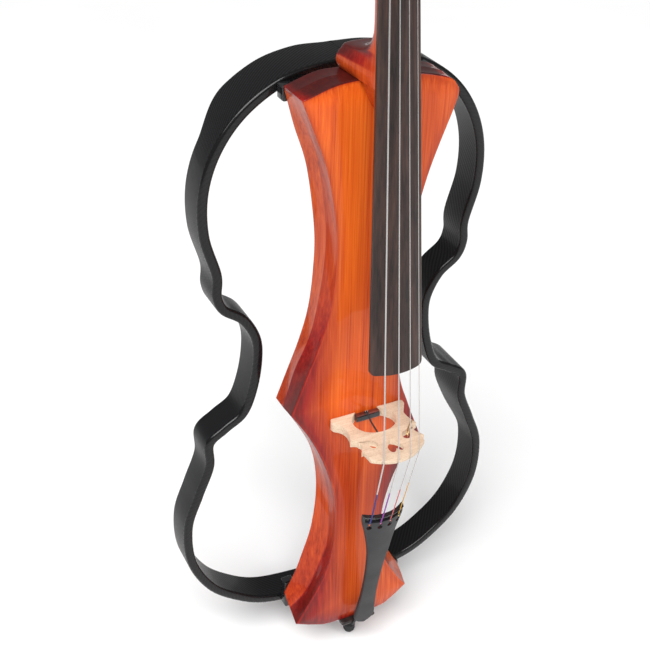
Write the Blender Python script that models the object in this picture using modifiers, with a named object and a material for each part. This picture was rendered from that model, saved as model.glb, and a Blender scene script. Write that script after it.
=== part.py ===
"""Electric cello: solid wooden body, carbon outline frame, neck, strings, endpin and electronics.

Metres, +Z up along the body, -Y to the front where the strings are, +X to the treble side.  The
origin is on the endpin axis, at the middle of the body's bottom end.
"""
import math

import bmesh
import bpy
from mathutils import Matrix, Vector

# Driving dimensions
GAP = 0.0003                    # clearance between touching pieces
FRONT_Y = -0.022                # front face of the wooden body
BACK_Y = 0.022                  # back face of the wooden body
CREASE_Y = 0.001                # crease that runs down each side of the body
TOP_Z = 0.735                   # middle of the body's top end
BRIDGE_Z = 0.330                # bridge feet
NUT_Z = 1.0167                  # string length ends at the nut
FRAME_FRONT_Y = 0.036           # front rim of the carbon frame
FRAME_BACK_Y = 0.076            # back edge of the carbon frame along the bouts
SHOULDER_BACK_Y = 0.097         # back edge of the carbon frame behind the body's top end
FRAME_WIDTH = 0.0115            # thickness of the carbon band
STRING_SPREAD = 0.0468          # outer strings' distance at the bridge
NUT_SPREAD = 0.0225             # outer strings' distance at the nut
NUT_STRING_Y = -0.0419          # strings at the nut
BOARD_END_Z = 0.4353            # lower end of the fingerboard
BOARD_END_Y = -0.0930           # crown of the fingerboard at its lower end
BOARD_NUT_Y = -0.0400           # crown of the fingerboard at the nut
BOARD_END_WIDTH = 0.0626
BOARD_NUT_WIDTH = 0.0320
BOARD_RADIUS = 0.065
BOARD_EDGE = 0.0055             # thickness of the fingerboard's edge
ENDPIN_RADIUS = 0.005
ENDPIN_LENGTH = 0.420
PEG_RADIUS = 0.0046
COVER_SCREW = 0.0016            # radius of the small wood screws
BAY_LOW = 0.5975                # battery bay in the body's back, lower and upper end
BAY_HIGH = 0.6565

STRINGS = {                     # name: (place across the bridge from -1 to 1, radius)
    "c": (-1.0, 0.00085),
    "g": (-1.0 / 3.0, 0.00065),
    "d": (1.0 / 3.0, 0.00050),
    "a": (1.0, 0.00040),
}
PEGS = {                        # name: (side the head is on, height above the nut, winding's place)
    "c": (-1, 0.032, -0.0050),
    "a": (1, 0.057, 0.0050),
    "g": (-1, 0.082, -0.0028),
    "d": (1, 0.107, 0.0028),
}


# Scene and materials
def clear_scene():
    for old in list(bpy.data.objects):
        bpy.data.objects.remove(old, do_unlink=True)


def make_collection(name):
    group = bpy.data.collections.new(name)
    bpy.context.scene.collection.children.link(group)
    return group


def make_material(name, colour, roughness, metallic=0.0):
    made = bpy.data.materials.new(name)
    made.use_nodes = True
    shader = made.node_tree.nodes["Principled BSDF"]
    shader.inputs["Base Color"].default_value = (*colour, 1.0)
    shader.inputs["Roughness"].default_value = roughness
    shader.inputs["Metallic"].default_value = metallic
    return made


clear_scene()
PARTS = make_collection("electric_cello")
CUTTERS = make_collection("cutters")
VARNISH = make_material("varnished_wood", (0.62, 0.12, 0.03), 0.25)
EBONY = make_material("ebony", (0.045, 0.035, 0.033), 0.45)
MAPLE = make_material("bridge_maple", (0.78, 0.62, 0.42), 0.6)
CARBON = make_material("carbon_fibre", (0.02, 0.02, 0.022), 0.25)
PLASTIC = make_material("black_plastic", (0.03, 0.03, 0.03), 0.45)
COMPOSITE = make_material("grey_composite", (0.08, 0.08, 0.085), 0.5)
STEEL = make_material("steel", (0.6, 0.6, 0.62), 0.25, 1.0)
RUBBER = make_material("rubber", (0.03, 0.03, 0.03), 0.8)
BOARD_GREEN = make_material("circuit_board", (0.02, 0.18, 0.06), 0.5)
CORD = make_material("cord", (0.02, 0.02, 0.02), 0.7)


# Builders
def place(item, material, group=None):
    (group or PARTS).objects.link(item)
    if material is not None:
        item.data.materials.append(material)
    return item


def mesh_object(name, bm, material, group=None, smooth=False):
    bmesh.ops.recalc_face_normals(bm, faces=bm.faces)
    mesh = bpy.data.meshes.new(name)
    bm.to_mesh(mesh)
    bm.free()
    if smooth:
        mesh.shade_smooth()
        mesh.set_sharp_from_angle(angle=math.radians(35))
    return place(bpy.data.objects.new(name, mesh), material, group)


def axis_matrix(centre, axis):
    turn = Vector((0, 0, 1)).rotation_difference(Vector(axis)).to_matrix().to_4x4()
    return Matrix.Translation(Vector(centre)) @ turn


def bevelled(item, width, segments=1):
    if width > 0:
        bevel = item.modifiers.new("soft_edges", "BEVEL")
        bevel.width = width
        bevel.segments = segments
        bevel.limit_method = "ANGLE"
    return item


def box(name, low, high, material, bevel=0.0, group=None):
    low = Vector(low)
    high = Vector(high)
    size = high - low
    bm = bmesh.new()
    bmesh.ops.create_cube(bm, size=1.0)
    bmesh.ops.scale(bm, vec=size, verts=bm.verts)
    item = mesh_object(name, bm, material, group)
    item.location = (low + high) / 2
    return bevelled(item, bevel)


def cylinder(name, centre, axis, radius, length, material, segments=24, bevel=0.0, group=None):
    bm = bmesh.new()
    bmesh.ops.create_cone(bm, cap_ends=True, segments=segments, radius1=radius, radius2=radius, depth=length)
    item = mesh_object(name, bm, material, group, smooth=True)
    item.matrix_world = axis_matrix(centre, axis)
    return bevelled(item, bevel)


def turned(name, profile, centre, axis, material, steps=24):
    """profile: (radius, height) from the top down the outside and back to the axis, or a closed loop."""
    bm = bmesh.new()
    closed = profile[0] == profile[-1]
    points = [bm.verts.new((radius, 0, height)) for radius, height in (profile[:-1] if closed else profile)]
    if closed:
        points.append(points[0])
    for first, second in zip(points, points[1:]):
        bm.edges.new((first, second))
    mesh = bpy.data.meshes.new(name)
    bm.to_mesh(mesh)
    bm.free()
    item = place(bpy.data.objects.new(name, mesh), material)
    item.matrix_world = axis_matrix(centre, axis)
    screw = item.modifiers.new("turn", "SCREW")
    screw.steps = steps
    screw.render_steps = steps
    screw.use_merge_vertices = True
    screw.merge_threshold = 0.00001
    return item


def ring(name, centre, axis, outer, inner, length, material, steps=24):
    """A tube with square ends: a closed profile that stays off the axis."""
    half = length / 2
    profile = [(inner, half), (outer, half), (outer, -half), (inner, -half), (inner, half)]
    return turned(name, profile, centre, axis, material, steps)


def loft(name, rings, material, group=None, smooth=False):
    """Skin through rings of equal point counts, closed at both ends."""
    bm = bmesh.new()
    rows = [[bm.verts.new(point) for point in outline] for outline in rings]
    count = len(rows[0])
    for lower, upper in zip(rows, rows[1:]):
        for i in range(count):
            j = (i + 1) % count
            bm.faces.new((lower[i], lower[j], upper[j], upper[i]))
    bm.faces.new(rows[0][::-1])
    bm.faces.new(rows[-1])
    return mesh_object(name, bm, material, group, smooth)


def flat_outline(name, outlines, thickness, material):
    """A plate in the object's own XY plane; the outlines after the first are holes."""
    data = bpy.data.curves.new(name, "CURVE")
    data.dimensions = "2D"
    data.fill_mode = "BOTH"
    data.extrude = thickness / 2
    for outline in outlines:
        spline = data.splines.new("POLY")
        spline.points.add(len(outline) - 1)
        for point, (x, y) in zip(spline.points, outline):
            point.co = (x, y, 0, 1)
        spline.use_cyclic_u = True
    return place(bpy.data.objects.new(name, data), material)


def tube(name, points, radius, material, resolution=2):
    data = bpy.data.curves.new(name, "CURVE")
    data.dimensions = "3D"
    data.bevel_depth = radius
    data.bevel_resolution = resolution
    data.use_fill_caps = True
    spline = data.splines.new("POLY")
    spline.points.add(len(points) - 1)
    for point, place_at in zip(spline.points, points):
        point.co = (*place_at, 1)
    return place(bpy.data.objects.new(name, data), material)


def as_mesh(item):
    """Turn a curve object into a mesh object with welded caps."""
    bpy.context.view_layer.update()
    evaluated = item.evaluated_get(bpy.context.evaluated_depsgraph_get())
    mesh = bpy.data.meshes.new_from_object(evaluated)
    bm = bmesh.new()
    bm.from_mesh(mesh)
    bmesh.ops.remove_doubles(bm, verts=bm.verts, dist=0.00001)
    bm.to_mesh(mesh)
    bm.free()
    name = item.name
    matrix = item.matrix_world.copy()
    bpy.data.objects.remove(item, do_unlink=True)
    made = bpy.data.objects.new(name, mesh)
    PARTS.objects.link(made)
    made.matrix_world = matrix
    return made


def combine(item, other, operation):
    """Boolean with another object, which becomes a hidden cutter."""
    if other.name in PARTS.objects:
        PARTS.objects.unlink(other)
        CUTTERS.objects.link(other)
    other.hide_render = True
    other.display_type = "WIRE"
    step = item.modifiers.new(operation.lower(), "BOOLEAN")
    step.operation = operation
    step.solver = "EXACT"
    step.object = other
    return item


def cut(item, cutter):
    return combine(item, cutter, "DIFFERENCE")


def join(item, other):
    return combine(item, other, "UNION")


def drill(item, centre, axis, radius, length, segments=16):
    hole = cylinder(item.name + "_hole", centre, axis, radius, length, None, segments, 0.0, CUTTERS)
    return cut(item, hole)


def pivot(name, location):
    empty = bpy.data.objects.new(name, None)
    empty.location = location
    PARTS.objects.link(empty)
    return empty


def hang(item, parent):
    """Parent without moving the item."""
    bpy.context.view_layer.update()
    matrix = item.matrix_world.copy()
    item.parent = parent
    item.matrix_parent_inverse = parent.matrix_world.inverted()
    item.matrix_world = matrix
    return item


def smooth_through(points, per_span):
    """Catmull-Rom curve through the points, without its last point."""
    ends = [points[0]] + list(points) + [points[-1]]
    curve = []
    for a, b, c, d in zip(ends, ends[1:], ends[2:], ends[3:]):
        for step in range(per_span):
            t = step / per_span
            curve.append(tuple(
                0.5 * (2 * q + (r - p) * t + (2 * p - 5 * q + 4 * r - s) * t ** 2
                       + (3 * q - p - 3 * r + s) * t ** 3)
                for p, q, r, s in zip(a, b, c, d)))
    return curve


# Outlines of the wooden body, as stretches between its corners: (x, z), clockwise from the bass side's top
FRONT_STRETCHES = [
    [(-0.0810, 0.7220), (-0.050, 0.732), (-0.024, TOP_Z)],
    [(-0.024, TOP_Z), (0.024, TOP_Z)],
    [(0.024, TOP_Z), (0.060, 0.729), (0.085, 0.720), (0.094, 0.709), (0.091, 0.693)],
    [(0.091, 0.693), (0.062, 0.616), (0.044, 0.530), (0.038, 0.450), (0.044, 0.372), (0.058, 0.325),
     (0.079, 0.268)],
    [(0.079, 0.268), (0.053, 0.240), (0.036, 0.195), (0.030, 0.150), (0.036, 0.092), (0.058, 0.046),
     (0.0718, 0.0248)],
    [(0.0718, 0.0248), (0.051, 0.009), (0.031, 0.001)],
    [(0.031, 0.001), (-0.035, 0.001)],
    [(-0.035, 0.001), (-0.0605, 0.008), (-0.0862, 0.0205)],
    [(-0.0862, 0.0205), (-0.0670, 0.0531), (-0.0487, 0.0880), (-0.0370, 0.1279), (-0.0338, 0.1711),
     (-0.0366, 0.2191), (-0.0517, 0.2716), (-0.0710, 0.3160), (-0.0930, 0.3530)],
    [(-0.0930, 0.3530), (-0.0760, 0.3960), (-0.0574, 0.4420), (-0.0458, 0.4798), (-0.0405, 0.5250),
     (-0.0408, 0.5750), (-0.0517, 0.6400), (-0.0664, 0.6836), (-0.0810, 0.7220)],
]
BACK_STRETCHES = [
    [(-0.0830, 0.7240), (-0.050, 0.734), (-0.024, TOP_Z)],
    [(-0.024, TOP_Z), (0.024, TOP_Z)],
    [(0.024, TOP_Z), (0.060, 0.730), (0.084, 0.722), (0.092, 0.711), (0.090, 0.694)],
    [(0.090, 0.694), (0.067, 0.616), (0.050, 0.530), (0.044, 0.450), (0.048, 0.372), (0.059, 0.325),
     (0.080, 0.267)],
    [(0.080, 0.267), (0.060, 0.238), (0.044, 0.195), (0.040, 0.150), (0.048, 0.092), (0.070, 0.046),
     (0.080, 0.028)],
    [(0.080, 0.028), (0.054, 0.010), (0.031, 0.001)],
    [(0.031, 0.001), (-0.035, 0.001)],
    [(-0.035, 0.001), (-0.061, 0.0165), (-0.0850, 0.0400)],
    [(-0.0850, 0.0400), (-0.0706, 0.0690), (-0.0593, 0.1016), (-0.0484, 0.1383), (-0.0424, 0.1846),
     (-0.0429, 0.2275), (-0.0496, 0.2650), (-0.0640, 0.2990), (-0.0940, 0.3525)],
    [(-0.0940, 0.3525), (-0.0800, 0.3850), (-0.0640, 0.4250), (-0.0530, 0.4640), (-0.0478, 0.5100),
     (-0.0475, 0.5600), (-0.0575, 0.6330), (-0.0721, 0.6819), (-0.0830, 0.7240)],
]
CREASE_STRETCHES = [
    [(-0.0830, 0.7240), (-0.050, 0.734), (-0.024, TOP_Z)],
    [(-0.024, TOP_Z), (0.024, TOP_Z)],
    [(0.024, TOP_Z), (0.060, 0.730), (0.085, 0.721), (0.0935, 0.7095), (0.0905, 0.693)],
    [(0.0905, 0.693), (0.0635, 0.616), (0.0465, 0.530), (0.0415, 0.450), (0.0485, 0.372), (0.0635, 0.325),
     (0.0795, 0.2675)],
    [(0.0795, 0.2675), (0.054, 0.239), (0.037, 0.195), (0.032, 0.150), (0.040, 0.092), (0.062, 0.046),
     (0.076, 0.0275)],
    [(0.076, 0.0275), (0.053, 0.0095), (0.031, 0.001)],
    [(0.031, 0.001), (-0.035, 0.001)],
    [(-0.035, 0.001), (-0.061, 0.0115), (-0.0858, 0.0306)],
    [(-0.0858, 0.0306), (-0.0640, 0.0500), (-0.0448, 0.0910), (-0.0350, 0.1250), (-0.0328, 0.1650),
     (-0.0370, 0.2150), (-0.0490, 0.2650), (-0.0680, 0.3090), (-0.0940, 0.3525)],
    [(-0.0940, 0.3525), (-0.0850, 0.3990), (-0.0640, 0.4380), (-0.0535, 0.4790), (-0.0450, 0.5300),
     (-0.0442, 0.5800), (-0.0540, 0.6480), (-0.0680, 0.6880), (-0.0830, 0.7240)],
]
SPAN_STEPS = 2


def body_outline(stretches, y, inset=0.0):
    """Closed ring of points of the body at one depth, optionally moved inwards."""
    flat = []
    for stretch in stretches:
        flat.extend(smooth_through(stretch, SPAN_STEPS))
    count = len(flat)
    moved = []
    for i, (x, z) in enumerate(flat):
        before = Vector(flat[i - 1])
        after = Vector(flat[(i + 1) % count])
        along = (after - before).normalized()
        moved.append((x + along.y * inset, y, z - along.x * inset))
    return moved


def make_body():
    rings = [
        body_outline(FRONT_STRETCHES, FRONT_Y, 0.008),
        body_outline(FRONT_STRETCHES, FRONT_Y + 0.002),
        body_outline(CREASE_STRETCHES, CREASE_Y),
        body_outline(BACK_STRETCHES, BACK_Y - 0.002),
        body_outline(BACK_STRETCHES, BACK_Y, 0.002),
    ]
    body = loft("body_core", rings, VARNISH)
    bore_top = ENDPIN_LENGTH + 0.010
    drill(body, (0, 0, bore_top / 2 - 0.02), (0, 0, 1), ENDPIN_RADIUS + 0.0005, bore_top + 0.04)
    cut(body, box("electronics_pocket", (-0.033, 0.0075, 0.266), (0.033, BACK_Y + 0.01, 0.337),
                  None, 0, CUTTERS))
    cut(body, box("battery_bay", (-0.0165, -0.001, BAY_LOW), (0.0165, BACK_Y + 0.01, BAY_HIGH),
                  None, 0, CUTTERS))
    return body


BODY = make_body()


# Carbon frame: centreline of the treble half's front rim, (x, z), from the top middle to the bottom middle
FRAME_LINE = [
    (0.0002, 0.7310), (0.040, 0.7290), (0.081, 0.7190), (0.121, 0.6930), (0.149, 0.6570), (0.164, 0.6140),
    (0.165, 0.5660), (0.153, 0.5180), (0.1535, 0.4920), (0.146, 0.4730), (0.124, 0.4550), (0.110, 0.4280),
    (0.108, 0.4000), (0.114, 0.3620), (0.127, 0.3290), (0.150, 0.3130), (0.170, 0.2970), (0.1715, 0.2640),
    (0.187, 0.2240), (0.202, 0.1800), (0.200, 0.1240), (0.177, 0.0740), (0.142, 0.0410), (0.104, 0.0205),
    (0.052, 0.0120), (0.0002, 0.0100),
]


def frame_path(side):
    line = smooth_through(FRAME_LINE, 2)
    line.append(FRAME_LINE[-1])
    return [(side * x, z) for x, z in line]


def frame_back(z, side):
    """Back edge of the band: deeper over the shoulders, and under the treble waist."""
    rise = min(max((z - 0.660) / 0.040, 0.0), 1.0)
    if side > 0:
        knee = min((0.352 - z) / 0.020, (z - 0.195) / 0.035)
        rise = max(rise, min(knee, 1.0))
    return FRAME_BACK_Y + (SHOULDER_BACK_Y - FRAME_BACK_Y) * rise


def make_frame(name, side):
    path = frame_path(side)
    half = FRAME_WIDTH / 2
    soft = 0.0025
    rings = []
    for i, (x, z) in enumerate(path):
        before = Vector(path[max(i - 1, 0)])
        after = Vector(path[min(i + 1, len(path) - 1)])
        along = (after - before).normalized()
        out = Vector((-along.y, along.x)) * side
        if i in (0, len(path) - 1):
            out = Vector((0, out.y / abs(out.y)))
        back = frame_back(z, side)
        section = [
            (half - soft, FRAME_FRONT_Y), (half, FRAME_FRONT_Y + soft), (half, back - 0.001),
            (half - 0.001, back), (-half + 0.001, back), (-half, back - 0.001),
            (-half, FRAME_FRONT_Y + soft), (-half + soft, FRAME_FRONT_Y),
        ]
        rings.append([(x + out.x * n, y, z + out.y * n) for n, y in section])
    return loft(name, rings, CARBON)


make_frame("bass_frame", -1)
make_frame("treble_frame", 1)
for label, middle in (("top", 0.7310 - FRAME_WIDTH / 2), ("bottom", 0.0100 + FRAME_WIDTH / 2)):
    sign = -1 if label == "top" else 1
    near = middle + sign * (GAP + 0.0012)
    far = near + sign * 0.0035
    low_z = min(near, far)
    box("frame_splice_" + label, (-0.020, 0.044, low_z), (0.020, 0.068, low_z + 0.0035), COMPOSITE, 0.001)


# Clamps that hold the frame to the body's back, with one screw each
CLAMPS = {                      # name: (side, height, half length)
    "upper_bass": (-1, 0.7150, 0.008),
    "upper_treble": (1, 0.7150, 0.008),
    "lower_bass": (-1, 0.0320, 0.020),
    "lower_treble": (1, 0.0200, 0.008),
}
CLAMP_SCREW_X = 0.059
CLAMP_FOOT = 0.004
for label, (side, height, half) in CLAMPS.items():
    near_x = 0.050 * side
    far_x = 0.0835 * side
    block_x = 0.0690 * side
    low_y = BACK_Y + GAP
    foot = box("frame_clamp_" + label, (min(near_x, far_x), low_y, height - half),
               (max(near_x, far_x), low_y + CLAMP_FOOT, height + half), PLASTIC)
    block = box(label + "_block", (min(block_x, far_x), low_y + 0.001, height - half),
                (max(block_x, far_x), FRAME_FRONT_Y - GAP, height + half), None, 0, CUTTERS)
    join(foot, block)
    screw_x = CLAMP_SCREW_X * side
    drill(foot, (screw_x, low_y + 0.002, height), (0, 1, 0), 0.0024, 0.02)
    drill(BODY, (screw_x, BACK_Y - 0.006, height), (0, 1, 0), 0.0024, 0.020)
    top_y = low_y + CLAMP_FOOT + GAP
    turned("clamp_screw_" + label,
           [(0, 0.0028), (0.0030, 0.0028), (0.0040, 0.0018), (0.0040, 0), (0.0020, 0), (0.0020, -0.014),
            (0, -0.014)],
           (screw_x, top_y, height), (0, 1, 0), STEEL, 16)


# Fingerboard and neck
def board_share(z):
    return (z - BOARD_END_Z) / (NUT_Z - BOARD_END_Z)


def board_half(z):
    return (BOARD_END_WIDTH + (BOARD_NUT_WIDTH - BOARD_END_WIDTH) * board_share(z)) / 2


def board_crown(z):
    return BOARD_END_Y + (BOARD_NUT_Y - BOARD_END_Y) * board_share(z)


def board_drop(x):
    return BOARD_RADIUS - math.sqrt(BOARD_RADIUS ** 2 - x ** 2)


def board_under(z):
    """Flat underside, straight from the lower end to the nut."""
    at_end = BOARD_END_Y + board_drop(BOARD_END_WIDTH / 2)
    at_nut = BOARD_NUT_Y + board_drop(BOARD_NUT_WIDTH / 2)
    return at_end + (at_nut - at_end) * board_share(z) + BOARD_EDGE


def board_section(z):
    """Arched top with the flat facet under the lowest string, flat underside."""
    half = board_half(z)
    crown = board_crown(z)
    flat_from = -0.36
    steps = [-1.0, flat_from, -0.12, 0.12, 0.36, 0.60, 0.82, 1.0]
    ring_points = [(share * half, crown + board_drop(share * half), z) for share in steps]
    under = board_under(z)
    return ring_points + [(half, under, z), (-half, under, z)]


loft("fingerboard", [board_section(BOARD_END_Z), board_section(NUT_Z - 0.0030)], EBONY)

HEEL_Z = TOP_Z + GAP
NECK_TOP_Z = NUT_Z + 0.0060


def neck_section(z, back, belly, back_half, square):
    """Flat front under the fingerboard; belly is the share of the depth that is rounded."""
    half = min(board_half(z) - 0.0002, 0.0205)
    front = board_under(z) + GAP
    straight = front + (back - front) * (1 - belly)
    ring_points = []
    for step in range(9):
        angle = math.pi * step / 8
        across = math.copysign(abs(math.cos(angle)) ** square, math.cos(angle))
        ring_points.append((back_half * across, straight + (back - straight) * math.sin(angle) ** square, z))
    return ring_points + [(-half, front, z), (half, front, z)]


HEEL_STATIONS = [               # (height, back, rounded share, half width at the back, squareness)
    (HEEL_Z, BACK_Y, 0.10, 0.0230, 0.35), (0.7400, BACK_Y, 0.10, 0.0265, 0.35),
    (0.7450, BACK_Y, 0.10, 0.0275, 0.35), (0.7510, BACK_Y, 0.12, 0.0262, 0.40),
    (0.7560, BACK_Y, 0.16, 0.0236, 0.50), (0.7600, 0.0200, 0.20, 0.0220, 0.60),
    (0.7625, 0.0060, 0.30, 0.0212, 0.70), (0.7660, -0.0080, 0.45, 0.0206, 0.80),
    (0.7720, -0.0195, 0.60, 0.0203, 0.90), (0.7820, -0.0265, 0.80, 0.0201, 1.0),
    (0.8050, -0.0290, 0.90, 0.0198, 1.0),
]


PEGBOX_STATIONS = [             # (height, half width, front, back)
    (NUT_Z + 0.0040, 0.0180, -0.0360, -0.0080), (1.060, 0.0172, -0.0365, -0.0010),
    (1.120, 0.0150, -0.0290, 0.0040), (1.165, 0.0135, -0.0180, 0.0110),
]
CHANNEL_STATIONS = [            # (height, half width, floor)
    (NUT_Z + 0.0062, 0.0128, -0.0220), (1.050, 0.0108, -0.0080), (1.140, 0.0078, -0.0020),
]


def make_neck():
    rings = [neck_section(*station) for station in HEEL_STATIONS]
    for z, depth, belly in ((0.9000, 0.0195, 0.90), (NECK_TOP_Z, 0.0180, 0.85)):
        rings.append(neck_section(z, board_under(z) + depth, belly, min(board_half(z) - 0.0002, 0.0198), 1.0))
    neck = loft("neck", rings, VARNISH)
    foot_rings = []
    for z, half, back in ((0.7010, 0.0050, -0.040), (0.7110, 0.0100, FRONT_Y - GAP),
                          (0.7230, 0.0155, FRONT_Y - GAP), (HEEL_Z + 0.004, 0.0204, FRONT_Y - GAP)):
        front = board_under(z) + 2 * GAP
        foot_rings.append([(-half, front, z), (half, front, z), (half, back, z), (-half, back, z)])
    join(neck, loft("heel_foot", foot_rings, None, CUTTERS))
    head_rings = []
    for z, half, front, back in PEGBOX_STATIONS:
        head_rings.append([
            (-half, front, z), (half, front, z), (half, back - 0.006, z), (half - 0.006, back, z),
            (-half + 0.006, back, z), (-half, back - 0.006, z),
        ])
    join(neck, loft("pegbox", head_rings, None, CUTTERS))
    channel_rings = []
    for z, half, floor in CHANNEL_STATIONS:
        channel_rings.append([(-half, -0.060, z), (half, -0.060, z), (half, floor, z), (-half, floor, z)])
    for index, (radius, half) in enumerate(((0.0260, 0.0130), (0.0190, 0.0200), (0.0115, 0.0260))):
        join(neck, cylinder("scroll_step_%d" % index, (0, -0.006, 1.172), (1, 0, 0), radius, 2 * half, None,
                            28, 0, CUTTERS))
    cut(neck, loft("peg_channel", channel_rings, None, CUTTERS))
    return neck


NECK = make_neck()
box("nut", (-0.0162, NUT_STRING_Y + 0.0013, NUT_Z - 0.0027),
    (0.0162, board_under(NUT_Z) - 0.0002, NUT_Z + 0.0030), EBONY, 0.0008)


# Bridge: half outline (x, height above the body), mirrored
def crown_height(x):
    """Top of the bridge: higher on the bass side."""
    reach = STRING_SPREAD / 2
    return 0.0845 - 0.0812 * x + 0.0068 * (1 - (x / reach) ** 2)


BRIDGE_SIDE = [
    (0.0150, 0.0003), (0.0450, 0.0003), (0.0462, 0.0050), (0.0410, 0.0125), (0.0372, 0.0200),
    (0.0370, 0.0270), (0.0390, 0.0360), (0.0415, 0.0430), (0.0370, 0.0450), (0.0335, 0.0500),
    (0.0335, 0.0560), (0.0365, 0.0610), (0.0385, 0.0660),
]
BRIDGE_ARCH = [(0.0252, 0.0265), (0.0200, 0.0350), (0.0110, 0.0405)]
BRIDGE_HEART = [
    (0.0, 0.0580), (0.0055, 0.0640), (0.0085, 0.0700), (0.0080, 0.0760), (0.0045, 0.0785), (0.0, 0.0745),
]
KIDNEY_CENTRE = (0.0220, 0.0565)
KIDNEY_SIZE = (0.0105, 0.0060)
BRIDGE_FOOT_THICKNESS = 0.0125
BRIDGE_TOP_THICKNESS = 0.0045


def make_bridge():
    crown = [(x / 1000, crown_height(x / 1000)) for x in (35, 26, 17, 8, 0, -8, -17, -26, -35)]
    outline = list(BRIDGE_SIDE) + crown
    outline += [(-x, h) for x, h in reversed(BRIDGE_SIDE)]
    outline += [(-0.0245, 0.0130)]
    outline += [(-x, h) for x, h in BRIDGE_ARCH] + [(0.0, 0.0430)]
    outline += list(reversed(BRIDGE_ARCH)) + [(0.0245, 0.0130)]
    heart = BRIDGE_HEART + [(-x, h) for x, h in reversed(BRIDGE_HEART[1:-1])]
    holes = [heart]
    for side in (-1, 1):
        kidney = []
        for step in range(12):
            angle = 2 * math.pi * step / 12
            x = KIDNEY_SIZE[0] * math.cos(angle)
            h = KIDNEY_SIZE[1] * math.sin(angle) - 0.35 * x
            kidney.append((side * (KIDNEY_CENTRE[0] + x), KIDNEY_CENTRE[1] + h))
        holes.append(kidney)
    plate = as_mesh(flat_outline("bridge", [outline] + holes, 1.0, MAPLE))
    for vert in plate.data.vertices:
        share = min(max((vert.co.y - 0.010) / 0.070, 0.0), 1.0)
        thickness = BRIDGE_FOOT_THICKNESS + (BRIDGE_TOP_THICKNESS - BRIDGE_FOOT_THICKNESS) * share
        vert.co = (vert.co.x, FRONT_Y - vert.co.y, BRIDGE_Z + math.copysign(thickness / 2, vert.co.z))
    plate.data.flip_normals()
    return plate


make_bridge()
BAR_HALF = 0.0148
box("pickup_bar", (-BAR_HALF, FRONT_Y - 0.0075, BRIDGE_Z - 0.005),
    (BAR_HALF, FRONT_Y - GAP, BRIDGE_Z + 0.005), EBONY, 0.0008)
tube("pickup_lead", [
    (-0.0020, FRONT_Y - 0.0080, BRIDGE_Z + 0.0010), (-0.0032, FRONT_Y - 0.0180, BRIDGE_Z + 0.0022),
    (-0.0044, FRONT_Y - 0.0300, BRIDGE_Z + 0.0018), (-0.0048, FRONT_Y - 0.0413, BRIDGE_Z),
], 0.0008, CORD)


# Tailpiece: half widths down its length, from the strings' end to the round lower end
TAILPIECE = [
    (0.0000, 0.0265), (0.012, 0.0262), (0.035, 0.0205), (0.065, 0.0150), (0.105, 0.0113), (0.150, 0.0103),
    (0.180, 0.0118), (0.2035, 0.0138), (0.212, 0.0122), (0.2180, 0.0080), (0.2205, 0.0025),
]
TAIL_TOP = Vector((0, -0.0840, 0.2250))
TAIL_END = Vector((0, -0.0405, 0.0115))
TAIL_ARCH = 0.0085              # how far the wide end's edges drop behind its middle
TAIL_THICKNESS = 0.0060
TAIL_HOLE_AT = 0.020


def tail_point(along):
    return TAIL_TOP.lerp(TAIL_END, along / 0.216)


def tail_drop(share_across, along):
    fade = max(1.0 - along / 0.080, 0.12)
    return TAIL_ARCH * fade * share_across ** 2


def make_tailpiece():
    rings = []
    for along, half in TAILPIECE:
        middle = tail_point(along)
        thickness = TAIL_THICKNESS if along < 0.205 else TAIL_THICKNESS * 0.7
        shares = (-1.0, -0.6, -0.2, 0.2, 0.6, 1.0)
        front = [Vector((share * half, middle.y + tail_drop(share, along), middle.z)) for share in shares]
        back = [point + Vector((0, thickness, 0)) for point in reversed(front)]
        rings.append(front + back)
    piece = loft("tailpiece", rings, COMPOSITE)
    for place_across, _radius in STRINGS.values():
        at = tail_point(TAIL_HOLE_AT)
        x = place_across * 0.0190
        drill(piece, (x, at.y + 0.004, at.z), (0, 1, 0), 0.0023, 0.03, 12)
    return piece


make_tailpiece()

# Endpin: socket, sliding rod with its rubber tip, clamping screw; saddle and tail cord
SOCKET_RADIUS = 0.0125
SOCKET_TOP = 0.0010 - GAP
SOCKET_END = -0.0190
COLLAR_RADIUS = 0.0095
CORD_RADIUS = 0.0013
CORD_Z = -0.0075
CLAMP_Z = -0.0145
SADDLE_FRONT = -0.0262
SADDLE_BOTTOM = -0.0050
SADDLE_HALF = 0.0235


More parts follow.
